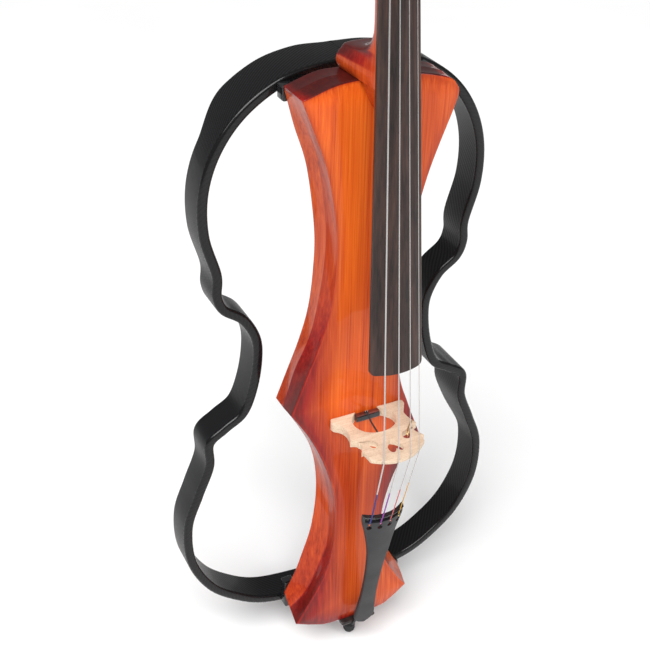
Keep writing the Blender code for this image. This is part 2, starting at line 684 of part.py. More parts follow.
def make_endpin():
    bore = ENDPIN_RADIUS + GAP
    socket = turned("endpin_socket",
                    [(bore, SOCKET_TOP), (SOCKET_RADIUS, SOCKET_TOP), (SOCKET_RADIUS, -0.0035),
                     (COLLAR_RADIUS, -0.0055), (COLLAR_RADIUS, SOCKET_END), (bore, SOCKET_END),
                     (bore, SOCKET_TOP)],
                    (0, 0, 0), (0, 0, 1), PLASTIC, 28)
    drill(socket, (-0.0080, 0, CLAMP_Z), (1, 0, 0), 0.0021, 0.0070, 12)
    holder = pivot("endpin_axis", (0, 0, SOCKET_END))
    rod_top = ENDPIN_LENGTH - 0.038
    rod = turned("endpin_rod",
                 [(0, rod_top), (0.004, rod_top), (ENDPIN_RADIUS, rod_top - 0.001), (ENDPIN_RADIUS, -0.034),
                  (0.0025, -0.034), (0.0025, -0.038), (0, -0.038)], (0, 0, 0), (0, 0, 1), STEEL, 20)
    tip = turned("endpin_tip",
                 [(0, -0.0384), (0.0028, -0.0384), (0.0028, -0.0343), (0.0070, -0.0343), (0.0078, -0.0355),
                  (0.0074, -0.0420), (0.0045, -0.0462), (0, -0.0470)], (0, 0, 0), (0, 0, 1), RUBBER, 20)
    hang(rod, holder)
    hang(tip, holder)
    turned("endpin_screw",
           [(0, 0.0205), (0.0045, 0.0205), (0.0058, 0.0190), (0.0058, 0.0145), (0.0045, 0.0135),
            (0.0018, 0.0135), (0.0018, 0.0056), (0, 0.0056)], (0, 0, CLAMP_Z), (-1, 0, 0), STEEL, 16)
    box("saddle", (-SADDLE_HALF, SADDLE_FRONT, SADDLE_BOTTOM), (SADDLE_HALF, -0.0132, SOCKET_TOP), EBONY, 0.0008)


def make_tail_cord():
    end = tail_point(0.2075)
    start_y = end.y + TAIL_THICKNESS + CORD_RADIUS + 2 * GAP
    loop = COLLAR_RADIUS + CORD_RADIUS + GAP
    side = [(0.0050, start_y, end.z), (0.0062, start_y + 0.0020, 0.0080),
            (0.0078, SADDLE_FRONT - CORD_RADIUS - GAP, -0.0020),
            (0.0086, SADDLE_FRONT - 0.0004, SADDLE_BOTTOM - CORD_RADIUS - 0.0008),
            (loop, -0.0110, CORD_Z)]
    around = [(loop * math.cos(math.pi * step / 10), loop * math.sin(math.pi * step / 10), CORD_Z)
              for step in range(11)]
    route = side + around + [(-x, y, z) for x, y, z in reversed(side)]
    tube("tail_cord", route, CORD_RADIUS, CORD)


make_endpin()
make_tail_cord()


# Strings, pegs and the windings on the pegs
NUT_TOP_Y = NUT_STRING_Y + 0.0013
WINDING_RADIUS = 0.0062
WINDING_LENGTH = 0.0060


def peg_axis(lift):
    """Place of a peg's axis, by its height above the nut."""
    return Vector((0, -0.0185 + 0.0065 * (lift - 0.032) / 0.075, NUT_Z + lift))


def pegbox_half(lift):
    return 0.0178 - 0.0030 * (lift - 0.030) / 0.080


def make_peg(name, side, lift):
    axis = peg_axis(lift)
    half = pegbox_half(lift)
    collar = half + 0.0012
    end = -half - 0.0040
    profile = [(0, collar + 0.014), (0.0050, collar + 0.013), (0.0042, collar + 0.008),
               (0.0062, collar + 0.003), (0.0070, collar + 0.0015), (0.0062, collar), (PEG_RADIUS, collar),
               (PEG_RADIUS, end + 0.0010), (PEG_RADIUS - 0.0010, end), (0, end)]
    peg = turned("peg_" + name, profile, axis, (side, 0, 0), EBONY, 16)
    head_at = axis + Vector((side * (collar + 0.024), 0, 0))
    head = cylinder("peg_head_" + name, head_at, (0, 1, 0), 0.0135, 0.0075, None, 20, 0.0015, CUTTERS)
    join(peg, head)
    drill(NECK, axis, (1, 0, 0), PEG_RADIUS + 0.0004, 0.060)


def string_route(name, across, radius):
    hole = tail_point(TAIL_HOLE_AT)
    tail_x = across * 0.0190
    hole_share = abs(tail_x) / 0.0250
    hole_y = hole.y + tail_drop(hole_share, TAIL_HOLE_AT)
    edge_y = TAIL_TOP.y + tail_drop(abs(tail_x) / 0.0265, 0)
    lift = radius + 0.0008
    bridge_x = across * STRING_SPREAD / 2
    bridge_y = FRONT_Y - crown_height(bridge_x) - radius - GAP
    nut_x = across * NUT_SPREAD / 2
    nut_y = NUT_TOP_Y - radius - GAP
    peg_lift = PEGS[name][1]
    axis = peg_axis(peg_lift)
    return [
        (tail_x, hole_y + 0.0020, hole.z),
        (tail_x, hole_y - lift, hole.z + 0.0010),
        (tail_x, edge_y - lift, TAIL_TOP.z + 0.0010),
        (bridge_x, bridge_y, BRIDGE_Z - BRIDGE_TOP_THICKNESS / 2 - GAP),
        (bridge_x, bridge_y, BRIDGE_Z + BRIDGE_TOP_THICKNESS / 2 + GAP),
        (nut_x, nut_y, NUT_Z),
        (nut_x, nut_y + 0.0003, NUT_Z + 0.0040),
        (PEGS[name][2], axis.y - WINDING_RADIUS - radius - GAP, axis.z),
    ]


for name, (across, radius) in STRINGS.items():
    tube("string_" + name, string_route(name, across, radius), radius, STEEL)
for name, (side, lift, winding_x) in PEGS.items():
    make_peg(name, side, lift)
    ring("winding_" + name, peg_axis(lift) + Vector((winding_x, 0, 0)), (1, 0, 0), WINDING_RADIUS,
         PEG_RADIUS + GAP, WINDING_LENGTH, STEEL, 16)


# Controls on the back: plate, pots with their knobs, switch, headphone socket, preamp board
PLATE_HALF = 0.040
PLATE_LOW = 0.258
PLATE_HIGH = 0.345
PLATE_INNER_Y = BACK_Y + GAP
PLATE_OUTER_Y = PLATE_INNER_Y + 0.0025
PLATE_SCREW_INSET = 0.0045
KNOB_Z = 0.322
KNOBS = {"volume": -0.0220, "tone": 0.0060}
SWITCH_X = 0.0280
SWITCH_PIVOT_Y = 0.0195
PHONES_AT = (0.0120, 0.2820)


def make_controls():
    plate = box("control_plate", (-PLATE_HALF, PLATE_INNER_Y, PLATE_LOW),
                (PLATE_HALF, PLATE_OUTER_Y, PLATE_HIGH), PLASTIC, 0.0008)
    box("preamp_board", (-0.0310, 0.0079, 0.2680), (0.0310, 0.0095, 0.3350), BOARD_GREEN)
    for name, x in KNOBS.items():
        drill(plate, (x, PLATE_INNER_Y, KNOB_Z), (0, 1, 0), 0.0036, 0.01)
        turned(name + "_pot",
               [(0.0036, 0.0215), (0.0052, 0.0215), (0.0052, 0.0200), (0.0080, 0.0200), (0.0080, 0.0110),
                (0.0036, 0.0110), (0.0036, 0.0215)], (x, 0, KNOB_Z), (0, 1, 0), STEEL, 20)
        base = PLATE_OUTER_Y + 0.0004
        knob = turned(name + "_knob",
                      [(0, base + 0.0125), (0.0072, base + 0.0125), (0.0080, base + 0.0115),
                       (0.0090, base + 0.0010), (0.0090, base), (0.0030, base), (0.0030, 0.0120), (0, 0.0120)],
                      (x, 0, KNOB_Z), (0, 1, 0), PLASTIC, 24)
        pointer = box(name + "_pointer", (x - 0.0006, base + 0.0100, KNOB_Z + 0.0020),
                      (x + 0.0006, base + 0.0200, KNOB_Z + 0.0100), None, 0, CUTTERS)
        cut(knob, pointer)
    drill(plate, (SWITCH_X, PLATE_INNER_Y, KNOB_Z), (0, 1, 0), 0.0030, 0.01)
    box("switch_body", (SWITCH_X - 0.0045, 0.0110, KNOB_Z - 0.0065),
        (SWITCH_X + 0.0045, SWITCH_PIVOT_Y - 0.0015, KNOB_Z + 0.0065), PLASTIC, 0.0005)
    turned("mode_switch",
           [(0, 0.0150), (0.0012, 0.0148), (0.0018, 0.0140), (0.0011, 0.0045), (0.0011, -0.0005),
            (0, -0.0005)],
           (SWITCH_X, SWITCH_PIVOT_Y, KNOB_Z), (0, 1, 0), STEEL, 14)
    x, z = PHONES_AT
    drill(plate, (x, PLATE_INNER_Y, z), (0, 1, 0), 0.0042, 0.01)
    turned("headphone_jack", [(0.0018, PLATE_OUTER_Y + 0.0016), (0.0055, PLATE_OUTER_Y + 0.0016),
                              (0.0055, PLATE_OUTER_Y + GAP), (0.0038, PLATE_OUTER_Y + GAP), (0.0038, 0.0105),
                              (0, 0.0105), (0, 0.0120), (0.0018, 0.0120), (0.0018, PLATE_OUTER_Y + 0.0016)],
           (x, 0, z), (0, 1, 0), STEEL, 20)
    index = 0
    for x in (-PLATE_HALF + PLATE_SCREW_INSET, PLATE_HALF - PLATE_SCREW_INSET):
        for z in (PLATE_LOW + PLATE_SCREW_INSET, PLATE_HIGH - PLATE_SCREW_INSET):
            index += 1
            drill(plate, (x, PLATE_INNER_Y, z), (0, 1, 0), COVER_SCREW + 0.0004, 0.01, 12)
            drill(BODY, (x, BACK_Y - 0.004, z), (0, 1, 0), COVER_SCREW + 0.0004, 0.012, 12)
            turned("plate_screw_%d" % index,
                   [(0, 0.0018), (0.0022, 0.0018), (0.0030, 0.0010), (0.0030, 0), (COVER_SCREW, 0),
                    (COVER_SCREW, -0.0110), (0, -0.0110)],
                   (x, PLATE_OUTER_Y + GAP, z), (0, 1, 0), STEEL, 12)


make_controls()


# Line output socket in the bottom end
JACK_AT = (-0.0225, 0.0030)
JACK_DEPTH = 0.0340


def make_output_jack():
    x, y = JACK_AT
    drill(BODY, (x, y, JACK_DEPTH / 2), (0, 0, 1), 0.0062, JACK_DEPTH + 0.006)
    top = JACK_DEPTH + 0.0020
    turned("output_jack",
           [(0, top), (0.0058, top), (0.0058, SOCKET_TOP), (0.0085, SOCKET_TOP), (0.0085, -0.0015),
            (0.0075, -0.0025), (0.0033, -0.0025), (0.0033, top - 0.0020), (0, top - 0.0020)],
           (x, y, 0), (0, 0, 1), STEEL, 20)


make_output_jack()


# Battery bay: tray, battery, bezel, hinged door with its pin
DOOR_HALF = 0.0200
HINGE_Z = 0.6668
HINGE_Y = BACK_Y + 0.0025
PIN_RADIUS = 0.0008


def make_battery_bay():
    tray = box("battery_tray", (-0.0160, -0.0005, BAY_LOW + 0.0005),
               (0.0160, BACK_Y - 0.0004, BAY_HIGH - 0.0005), PLASTIC)
    hollow = box("tray_hollow", (-0.0148, 0.0008, BAY_LOW + 0.0017),
                 (0.0148, BACK_Y + 0.01, BAY_HIGH - 0.0017), None, 0, CUTTERS)
    cut(tray, hollow)
    battery = box("battery", (-0.01325, 0.0016, 0.6010), (0.01325, 0.0191, 0.6490), STEEL, 0.0010)
    for x, radius in ((-0.0063, 0.0028), (0.0063, 0.0035)):
        terminal = cylinder("terminal", (x, 0.0104, 0.6500), (0, 0, 1), radius, 0.0050, None, 12, 0, CUTTERS)
        join(battery, terminal)
    bezel = box("battery_bezel", (-0.0260, BACK_Y + GAP, 0.5840), (0.0260, BACK_Y + 0.0026, 0.6725), PLASTIC)
    window = box("bezel_window", (-DOOR_HALF - 0.0006, 0, 0.5885), (DOOR_HALF + 0.0006, 0.05, 0.6695),
                 None, 0, CUTTERS)
    cut(bezel, window)
    for side in (-1, 1):
        inner = side * (DOOR_HALF + 0.0006)
        outer = side * (DOOR_HALF + 0.0030)
        lug = box("hinge_lug", (min(inner, outer), BACK_Y + 0.0005, HINGE_Z - 0.0020),
                  (max(inner, outer), BACK_Y + 0.0048, HINGE_Z + 0.0020), None, 0, CUTTERS)
        join(bezel, lug)
    drill(bezel, (0, HINGE_Y, HINGE_Z), (1, 0, 0), PIN_RADIUS + GAP, 0.060, 12)
    cylinder("hinge_pin", (0, HINGE_Y, HINGE_Z), (1, 0, 0), PIN_RADIUS, 0.0462, STEEL, 12)
    door = box("battery_door", (-DOOR_HALF, BACK_Y + GAP, 0.5890),
               (DOOR_HALF, BACK_Y + 0.0024, HINGE_Z - 0.0005), PLASTIC)
    join(door, cylinder("door_knuckle", (0, HINGE_Y, HINGE_Z), (1, 0, 0), 0.0020, 2 * DOOR_HALF,
                        None, 16, 0, CUTTERS))
    join(door, box("door_tab", (-0.0060, BACK_Y + 0.0010, 0.5895), (0.0060, BACK_Y + 0.0042, 0.5925),
                   None, 0, CUTTERS))
    drill(door, (0, HINGE_Y, HINGE_Z), (1, 0, 0), PIN_RADIUS + GAP, 0.060, 12)
    holder = pivot("door_axis", (0, HINGE_Y, HINGE_Z))
    hang(door, holder)


make_battery_bay()
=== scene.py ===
"""Looks of the electric cello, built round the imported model.

Metres, +Z up along the body, -Y to the front where the strings are, +X to the treble side.
"""

import math

import bmesh
import bpy
import numpy as np
from mathutils import Matrix, Vector


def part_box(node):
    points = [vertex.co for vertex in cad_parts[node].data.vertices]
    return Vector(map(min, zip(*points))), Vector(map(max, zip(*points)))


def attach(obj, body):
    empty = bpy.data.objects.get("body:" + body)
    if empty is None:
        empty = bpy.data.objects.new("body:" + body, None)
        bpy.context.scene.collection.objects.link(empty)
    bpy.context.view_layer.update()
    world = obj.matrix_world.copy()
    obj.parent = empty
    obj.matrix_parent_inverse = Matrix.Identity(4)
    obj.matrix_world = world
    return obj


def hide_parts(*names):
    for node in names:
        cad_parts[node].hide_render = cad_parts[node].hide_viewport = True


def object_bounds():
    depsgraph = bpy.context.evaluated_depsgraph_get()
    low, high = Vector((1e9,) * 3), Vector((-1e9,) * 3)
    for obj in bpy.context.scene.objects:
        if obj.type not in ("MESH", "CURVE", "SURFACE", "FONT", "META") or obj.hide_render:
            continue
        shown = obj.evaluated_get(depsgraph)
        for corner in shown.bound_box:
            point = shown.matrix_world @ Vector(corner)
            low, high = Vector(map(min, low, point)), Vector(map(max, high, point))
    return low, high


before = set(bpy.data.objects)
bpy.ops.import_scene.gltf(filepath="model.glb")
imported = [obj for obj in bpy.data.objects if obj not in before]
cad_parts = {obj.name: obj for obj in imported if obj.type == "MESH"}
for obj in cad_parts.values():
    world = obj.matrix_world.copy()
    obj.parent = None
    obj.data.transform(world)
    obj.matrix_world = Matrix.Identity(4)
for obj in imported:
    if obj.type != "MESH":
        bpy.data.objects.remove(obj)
CAD_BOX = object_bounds()
scene = bpy.context.scene

UP = (0, 0, 1)
OUT = (0, 1, 0)                 # out of the back, towards the player

# Sizes shared with the model
GAP = 0.0003
BRIDGE_Z = 0.33
NUT_Z = 1.0167
TOP_Z = 0.735
FRONT_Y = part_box("body_core")[0].y
BACK_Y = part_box("body_core")[1].y
FRAME_FRONT_Y = 0.036
FRAME_BACK_Y = 0.076
SHOULDER_BACK_Y = 0.097
FRAME_WIDTH = 0.0115
PEG_RADIUS = 0.0046
NUT_SPREAD = 0.0225
STRINGS = {"c": (-1.0, 0.00085), "g": (-1.0 / 3.0, 0.00065), "d": (1.0 / 3.0, 0.0005), "a": (1.0, 0.0004)}
PEGS = {                        # name: (side the head is on, height above the nut, winding's place)
    "c": (-1, 0.032, -0.005),
    "a": (1, 0.057, 0.005),
    "g": (-1, 0.082, -0.0028),
    "d": (1, 0.107, 0.0028),
}


# Curves and meshes
def unit(value):
    """The value held between 0 and 1."""
    return min(max(value, 0.0), 1.0)


def ease(share):
    """Smooth step from 0 to 1."""
    share = unit(share)
    return share * share * (3 - 2 * share)


def mm(rows):
    """Rows of millimetres as rows of metres."""
    return [tuple(value / 1000 for value in row) for row in rows]


def arc(steps, turn=math.pi / 2, start=0.0):
    """Cosine and sine at even steps through a turn, with both ends."""
    angles = [start + turn * step / steps for step in range(steps + 1)]
    return [(math.cos(angle), math.sin(angle)) for angle in angles]


def circle(steps):
    return arc(steps, 2 * math.pi)[:-1]


def smooth_through(points, per_span):
    """Catmull-Rom curve through points of any dimension, with its last point."""
    points = [np.array(point, float) for point in points]
    ends = [2 * points[0] - points[1]] + points + [2 * points[-1] - points[-2]]
    curve = []
    for a, b, c, d in zip(ends, ends[1:], ends[2:], ends[3:]):
        for step in range(per_span):
            t = step / per_span
            curve.append(0.5 * (2 * b + (c - a) * t + (2 * a - 5 * b + 4 * c - d) * t ** 2
                                + (3 * b - a - 3 * c + d) * t ** 3))
    curve.append(points[-1])
    return np.array(curve)


def travel(curve):
    """Distance along the curve at each of its points."""
    return np.concatenate([[0], np.cumsum(np.linalg.norm(np.diff(curve, axis=0), axis=1))])


def resample(curve, count):
    """The curve again with count points, evenly spaced along it."""
    along = travel(curve)
    wanted = np.linspace(0, along[-1], count)
    return np.stack([np.interp(wanted, along, column) for column in curve.T], axis=1)


def edit(mesh, *steps):
    """Runs steps that each take a bmesh."""
    bm = bmesh.new()
    bm.from_mesh(mesh)
    for step in steps:
        step(bm)
    bm.to_mesh(mesh)
    bm.free()


def outward(bm):
    bmesh.ops.recalc_face_normals(bm, faces=bm.faces)


def join_doubles(bm):
    bmesh.ops.remove_doubles(bm, verts=bm.verts, dist=0.00001)


def drop_slivers(bm):
    bmesh.ops.dissolve_degenerate(bm, edges=bm.edges, dist=1e-7)


def shade_by_angle(mesh, sharp):
    mesh.shade_smooth()
    mesh.set_sharp_from_angle(angle=math.radians(sharp))


def new_object(name, mesh, material, sharp=35, body="root"):
    item = bpy.data.objects.new(name, mesh)
    scene.collection.objects.link(item)
    shade_by_angle(mesh, sharp)
    for one in material if isinstance(material, list) else [material]:
        mesh.materials.append(one)
    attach(item, body)
    return item


def mesh_from(name, points, faces, material, sharp=35, body="root"):
    mesh = bpy.data.meshes.new(name)
    mesh.from_pydata([tuple(point) for point in points], [], faces)
    edit(mesh, outward)
    return new_object(name, mesh, material, sharp, body)


def stand_in(node, slot, *pieces):
    """The pieces stand for the model's node, which is hidden; the slot is not used."""
    for piece in pieces:
        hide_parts(node)


def store(item, name, values):
    """A number, or three, on each point, for the materials to read."""
    values = np.asarray(values, np.float32)
    kind, field = ("FLOAT", "value") if values.ndim == 1 else ("FLOAT_VECTOR", "vector")
    item.data.attributes.new(name, kind, "POINT").data.foreach_set(field, values.ravel())


def skin_faces(rows, count, closed_loop=False):
    """Faces between rings of count points."""
    faces = []
    for row in range(rows if closed_loop else rows - 1):
        low, high = row * count, (row + 1) % rows * count
        faces += [(low + i, low + (i + 1) % count, high + (i + 1) % count, high + i) for i in range(count)]
    return faces


def loft(name, rings, material, sharp=35, closed_loop=False, body="root"):
    """A skin through rings of equal point counts, with flat ends or closed into a loop."""
    count = len(rings[0])
    faces = skin_faces(len(rings), count, closed_loop)
    if not closed_loop:
        last = (len(rings) - 1) * count
        faces += [tuple(range(count))[::-1], tuple(range(last, last + count))]
    return mesh_from(name, [point for ring in rings for point in ring], faces, material, sharp, body)


def lathe(name, profile, centre, axis, material, steps=48, shape=None, body="root"):
    """Turned piece: profile of (radius, height) from the axis round to the axis, or a closed loop."""
    closed = tuple(profile[0]) == tuple(profile[-1])
    turn = Vector(UP).rotation_difference(Vector(axis)).to_matrix().to_4x4()
    turn = Matrix.Translation(Vector(centre)) @ turn
    rings = []
    for radius, height in profile[:-1] if closed else profile:
        ring = []
        for step in range(steps):
            angle = 2 * math.pi * step / steps
            reach = max(radius, 1e-6) * (shape(angle, height) if shape else 1.0)
            ring.append(turn @ Vector((reach * math.cos(angle), reach * math.sin(angle), height)))
        rings.append(ring)
    item = loft(name, rings, material, closed_loop=closed, body=body)
    edit(item.data, join_doubles, drop_slivers)
    return item


def rounded(x_half, y_half, radius, steps=5):
    """Outline of a rounded rectangle about the origin, counter-clockwise."""
    outline = []
    for corner, (x_side, y_side) in enumerate(((1, 1), (-1, 1), (-1, -1), (1, -1))):
        x, y = x_side * (x_half - radius), y_side * (y_half - radius)
        outline += [(x + radius * cosine, y + radius * sine)
                    for cosine, sine in arc(steps, start=math.pi / 2 * corner)]
    return outline


def facing(x, z):
    """Place for a plate that stands upright round (x, z), with its height along Y."""
    return lambda u, v, h: (x + u, h, z + v)


def slab(name, outline, low, high, edge, place, material, body="root"):
    """A plate with rounded edges: place maps (u, v, height) to a point."""
    flat = np.array(outline)
    middle = flat.mean(axis=0)
    span = np.abs(flat - middle).max(axis=0)
    layers = [(edge * (1 - sine), low + edge * (1 - cosine)) for cosine, sine in arc(3)]
    layers += [(inward, high - (height - low)) for inward, height in reversed(layers)]
    rings = [[place(u, v, height) for u, v in middle + (flat - middle) * (1 - inward / span)]
             for inward, height in layers]
    return loft(name, rings, material, body=body)


def tube(name, points, radius, material, sides=12, body="root"):
    """A round tube along points."""
    points = [Vector(point) for point in points]
    rings = []
    normal = None
    for i, point in enumerate(points):
        along = (points[min(i + 1, len(points) - 1)] - points[max(i - 1, 0)]).normalized()
        normal = normal or along.orthogonal().normalized()
        normal = (normal - along * normal.dot(along)).normalized()
        side = along.cross(normal)
        rings.append([point + (normal * cosine + side * sine) * radius for cosine, sine in circle(sides)])
    return loft(name, rings, material, 50, body=body)


def drill(place, axis, radius, reach, material, steps=40):
    return lathe("drill", [(0, -reach), (radius, -reach), (radius, reach), (0, reach)], place, axis,
                 material, steps)


def cut(item, cutters, sharp=35):
    """Boolean cuts, applied, so that the cutters can go."""
    for cutter in cutters:
        step = item.modifiers.new("cut", "BOOLEAN")
        step.operation = "DIFFERENCE"
        step.object = cutter
    bpy.context.view_layer.update()
    item_cut = item.evaluated_get(bpy.context.evaluated_depsgraph_get())
    mesh = bpy.data.meshes.new_from_object(item_cut)
    item.modifiers.clear()
    item.data = mesh
    for cutter in cutters:
        bpy.data.objects.remove(cutter, do_unlink=True)
    shade_by_angle(mesh, sharp)
    return item


# Materials
class Recipe:
    """One material's node tree, with short calls for the nodes that repeat."""

    def __init__(self, name, roughness=0.5, metallic=0.0, coat=0.0, coat_roughness=0.05, specular=0.5):
        self.material = bpy.data.materials.new(name)
        self.material.use_nodes = True
        self.tree = self.material.node_tree
        self.inputs = self.tree.nodes["Principled BSDF"].inputs
        for socket, value in (("Roughness", roughness), ("Metallic", metallic), ("Coat Weight", coat),
                              ("Coat Roughness", coat_roughness), ("Specular IOR Level", specular)):
            self.inputs[socket].default_value = value
        self.coordinates = self.node("TexCoord").outputs["Object"]

    def put(self, socket, value):
        if isinstance(value, bpy.types.NodeSocket):
            self.tree.links.new(value, socket)
        elif value is not None:
            socket.default_value = value

    def node(self, kind, **values):
        """A new node, with values or links for the sockets named."""
        made = self.tree.nodes.new("ShaderNode" + kind)
        for socket, value in values.items():
            self.put(made.inputs[socket], value)
        return made

    def mapped(self, scale):
        return self.node("Mapping", Vector=self.coordinates, Scale=scale).outputs["Vector"]

    def noise(self, scale, detail=4.0, roughness=0.55):
        """scale: a number, or three for a noise that is drawn out."""
        vector, scale = (self.mapped(scale), 1.0) if isinstance(scale, tuple) else (self.coordinates, scale)
        made = self.node("TexNoise", Vector=vector, Scale=scale, Detail=detail, Roughness=roughness)
        return made.outputs["Fac"]

    def wave(self, scale, distortion, direction="X"):
        made = self.node("TexWave", Vector=self.mapped(scale), Scale=1.0, Distortion=distortion, Detail=1.0)
        made.bands_direction = direction
        return made.outputs["Fac"]

    def math(self, operation, first, second=None):
        made = self.tree.nodes.new("ShaderNodeMath")
        made.operation = operation
        self.put(made.inputs[0], first)
        self.put(made.inputs[1], second)
        return made.outputs[0]

    def total(self, *terms):
        """Sum of the products of (value, weight)."""
        first, *others = [self.math("MULTIPLY", value, weight) for value, weight in terms]
        for other in others:
            first = self.math("ADD", first, other)
        return first

    def ramp(self, value, *stops):
        """stops: (position, colour or grey)."""
        made = self.node("ValToRGB", Fac=value)
        elements = made.color_ramp.elements
        while len(elements) < len(stops):
            elements.new(0.5)
        for element, (position, colour) in zip(elements, stops):
            element.position = position
            grey = isinstance(colour, (int, float))
            element.color = (colour, colour, colour, 1) if grey else (*colour, 1)
        return made.outputs["Color"]

    def mix(self, factor, first, second):
        made = self.tree.nodes.new("ShaderNodeMix")
        made.data_type = "RGBA"
        for socket, value in (("Factor", factor), ("A", first), ("B", second)):
            self.put(made.inputs[socket], (*value, 1) if isinstance(value, tuple) else value)
        return made.outputs["Result"]

    def attribute(self, name):
        made = self.tree.nodes.new("ShaderNodeAttribute")
        made.attribute_name = name
        return made.outputs

    def colour(self, value):
        self.put(self.inputs["Base Color"], value)

    def rough(self, value):
        self.put(self.inputs["Roughness"], value)

    def bump(self, height, strength, distance=0.0002):
        made = self.node("Bump", Strength=strength, Distance=distance, Height=height)
        self.put(self.inputs["Normal"], made.outputs["Normal"])


def varnish(name):
    """Glossy orange varnish over straight fine grain; the point attribute "shade" turns it red and maroon,
    which on the core and the heel's top is painted shade and reflection.
    """
    look = Recipe(name, roughness=0.42, coat=0.42, coat_roughness=0.05, specular=0.16)
    look.inputs["Coat IOR"].default_value = 1.38
    streaks = look.noise((620, 420, 7), 7, 0.62)
    grain = look.total((streaks, 0.42), (look.noise((210, 140, 2.4), 4, 0.6), 0.34),
                       (look.noise((24, 18, 2.6), 3), 0.24))
    orange = look.ramp(grain, (0.36, (0.42, 0.042, 0.005)), (0.46, (0.69, 0.092, 0.008)),
                       (0.55, (0.81, 0.138, 0.013)), (0.66, (0.92, 0.22, 0.024)))
    red = look.ramp(grain, (0.36, (0.13, 0.003, 0.003)), (0.5, (0.25, 0.006, 0.004)),
                    (0.66, (0.4, 0.02, 0.008)))
    maroon = look.ramp(grain, (0.36, (0.034, 0.004, 0.004)), (0.64, (0.085, 0.008, 0.006)))
    shade = look.attribute("shade")["Fac"]
    warm = look.mix(look.math("MINIMUM", look.math("DIVIDE", shade, 0.65), 1.0), orange, red)
    deep = look.math("MAXIMUM", look.math("DIVIDE", look.math("SUBTRACT", shade, 0.65), 0.35), 0.0)
    look.colour(look.mix(deep, warm, maroon))
    look.bump(streaks, 0.06)
    return look.material


def dark_wood(name, dark, light, roughness, coat=0.0):
    """Ebony or rosewood: fine dark streaks and short pores along the grain."""
    look = Recipe(name, coat=coat, coat_roughness=0.2, specular=0.32)
    grain = look.total((look.noise((420, 420, 7), 6, 0.7), 0.45), (look.noise((95, 95, 1.6), 3), 0.6))
    pores = look.noise((1500, 1500, 45), 2)
    middle = tuple((a + b) / 2 for a, b in zip(dark, light))
    look.colour(look.ramp(grain, (0.4, dark), (0.54, middle), (0.66, light)))
    look.rough(look.ramp(pores, (0.35, roughness + 0.16), (0.6, roughness)))
    look.bump(pores, 0.25)
    return look.material


def maple(name):
    """Bare bridge maple with short flecks across its face."""
    look = Recipe(name, roughness=0.55, specular=0.3)
    flecks = look.noise((1400, 420, 380), 4, 0.7)
    grain = look.total((flecks, 0.6), (look.noise((60, 420, 420)), 0.45))
    look.colour(look.ramp(grain, (0.34, (0.5, 0.35, 0.235)), (0.52, (0.66, 0.5, 0.36)),
                          (0.66, (0.74, 0.59, 0.45))))
    look.rough(look.ramp(flecks, (0.3, 0.65), (0.7, 0.5)))
    look.bump(flecks, 0.12)
    return look.material


TOW = 0.0016                    # width of one carbon tow
CARBON_CONTRAST = 0.26


def carbon(name, roughness, coat, relief, brightest):
    """Two-by-two twill, laid along the band by the point attribute "band": (along, across, 0)."""
    look = Recipe(name, coat=coat, coat_roughness=0.06, specular=0.1)
    place = look.node("SeparateXYZ", Vector=look.attribute("band")["Vector"]).outputs
    along, across = (look.math("DIVIDE", place[axis], TOW) for axis in "XY")
    turn = look.math("ADD", look.math("FLOOR", along), look.math("FLOOR", across))
    over = look.math("LESS_THAN", look.math("FLOORED_MODULO", turn, 4.0), 1.9)
    height = look.total((look.math("PINGPONG", along, 0.5), look.math("SUBTRACT", 1.0, over)),
                        (look.math("PINGPONG", across, 0.5), over))
    tone = look.total((over, CARBON_CONTRAST), (look.noise((2500, 2500, 500), 3), 0.25 * CARBON_CONTRAST))
    look.colour(look.ramp(tone, (0.0, (0.004, 0.004, 0.0045)),
                          (1.0, (brightest, brightest, 1.08 * brightest))))
    look.rough(look.ramp(over, (0.0, roughness), (1.0, roughness * 0.72)))
    look.bump(height, relief, 0.0004)
    return look.material


def moulded(name, colour, roughness=0.5, grain=0.15):
    """Moulded plastic: a fine grain in relief, roughness and tone."""
    look = Recipe(name)
    fine = look.noise(2600, 2)
    slow = look.noise(40, 3)
    look.colour(look.mix(slow, colour, tuple(min(channel * 1.35 + 0.004, 1.0) for channel in colour)))
    look.rough(look.ramp(slow, (0.3, roughness - 0.06), (0.7, roughness + 0.08)))
    look.bump(fine, grain)
    return look.material


def metal(name, colour, roughness=0.25, stretched=(900, 900, 40)):
    """Drawn or turned metal with fine marks."""
    look = Recipe(name, metallic=1.0)
    marks = look.noise(stretched, 3)
    look.colour(look.mix(look.noise(60, 2), colour, tuple(channel * 0.86 for channel in colour)))
    look.rough(look.ramp(marks, (0.3, roughness * 0.7), (0.7, roughness * 1.4)))
    look.bump(marks, 0.06, 0.0001)
    return look.material


def rubber_look(name):
    look = Recipe(name)
    grain = look.noise(1600, 3)
    look.colour(look.ramp(grain, (0.3, (0.018, 0.018, 0.019)), (0.7, (0.045, 0.045, 0.047))))
    look.rough(look.ramp(grain, (0.3, 0.72), (0.7, 0.9)))
    look.bump(grain, 0.4)
    return look.material


def thread(name, colour):
    """Silk wound round a string: fine turns in relief."""
    look = Recipe(name, roughness=0.6)
    turns = look.wave((0, 0, 900), 0.4, "Z")
    look.colour(look.ramp(turns, (0.2, tuple(channel * 0.6 for channel in colour)), (0.8, colour)))
    look.bump(turns, 0.5)
    return look.material


def circuit(name):
    """Solder mask with faint tracks."""
    look = Recipe(name, roughness=0.4)
    tracks = look.wave((330, 0, 330), 6)
    look.colour(look.ramp(tracks, (0.55, (0.012, 0.12, 0.04)), (0.62, (0.03, 0.26, 0.09))))
    look.bump(tracks, 0.2, 0.0001)
    return look.material


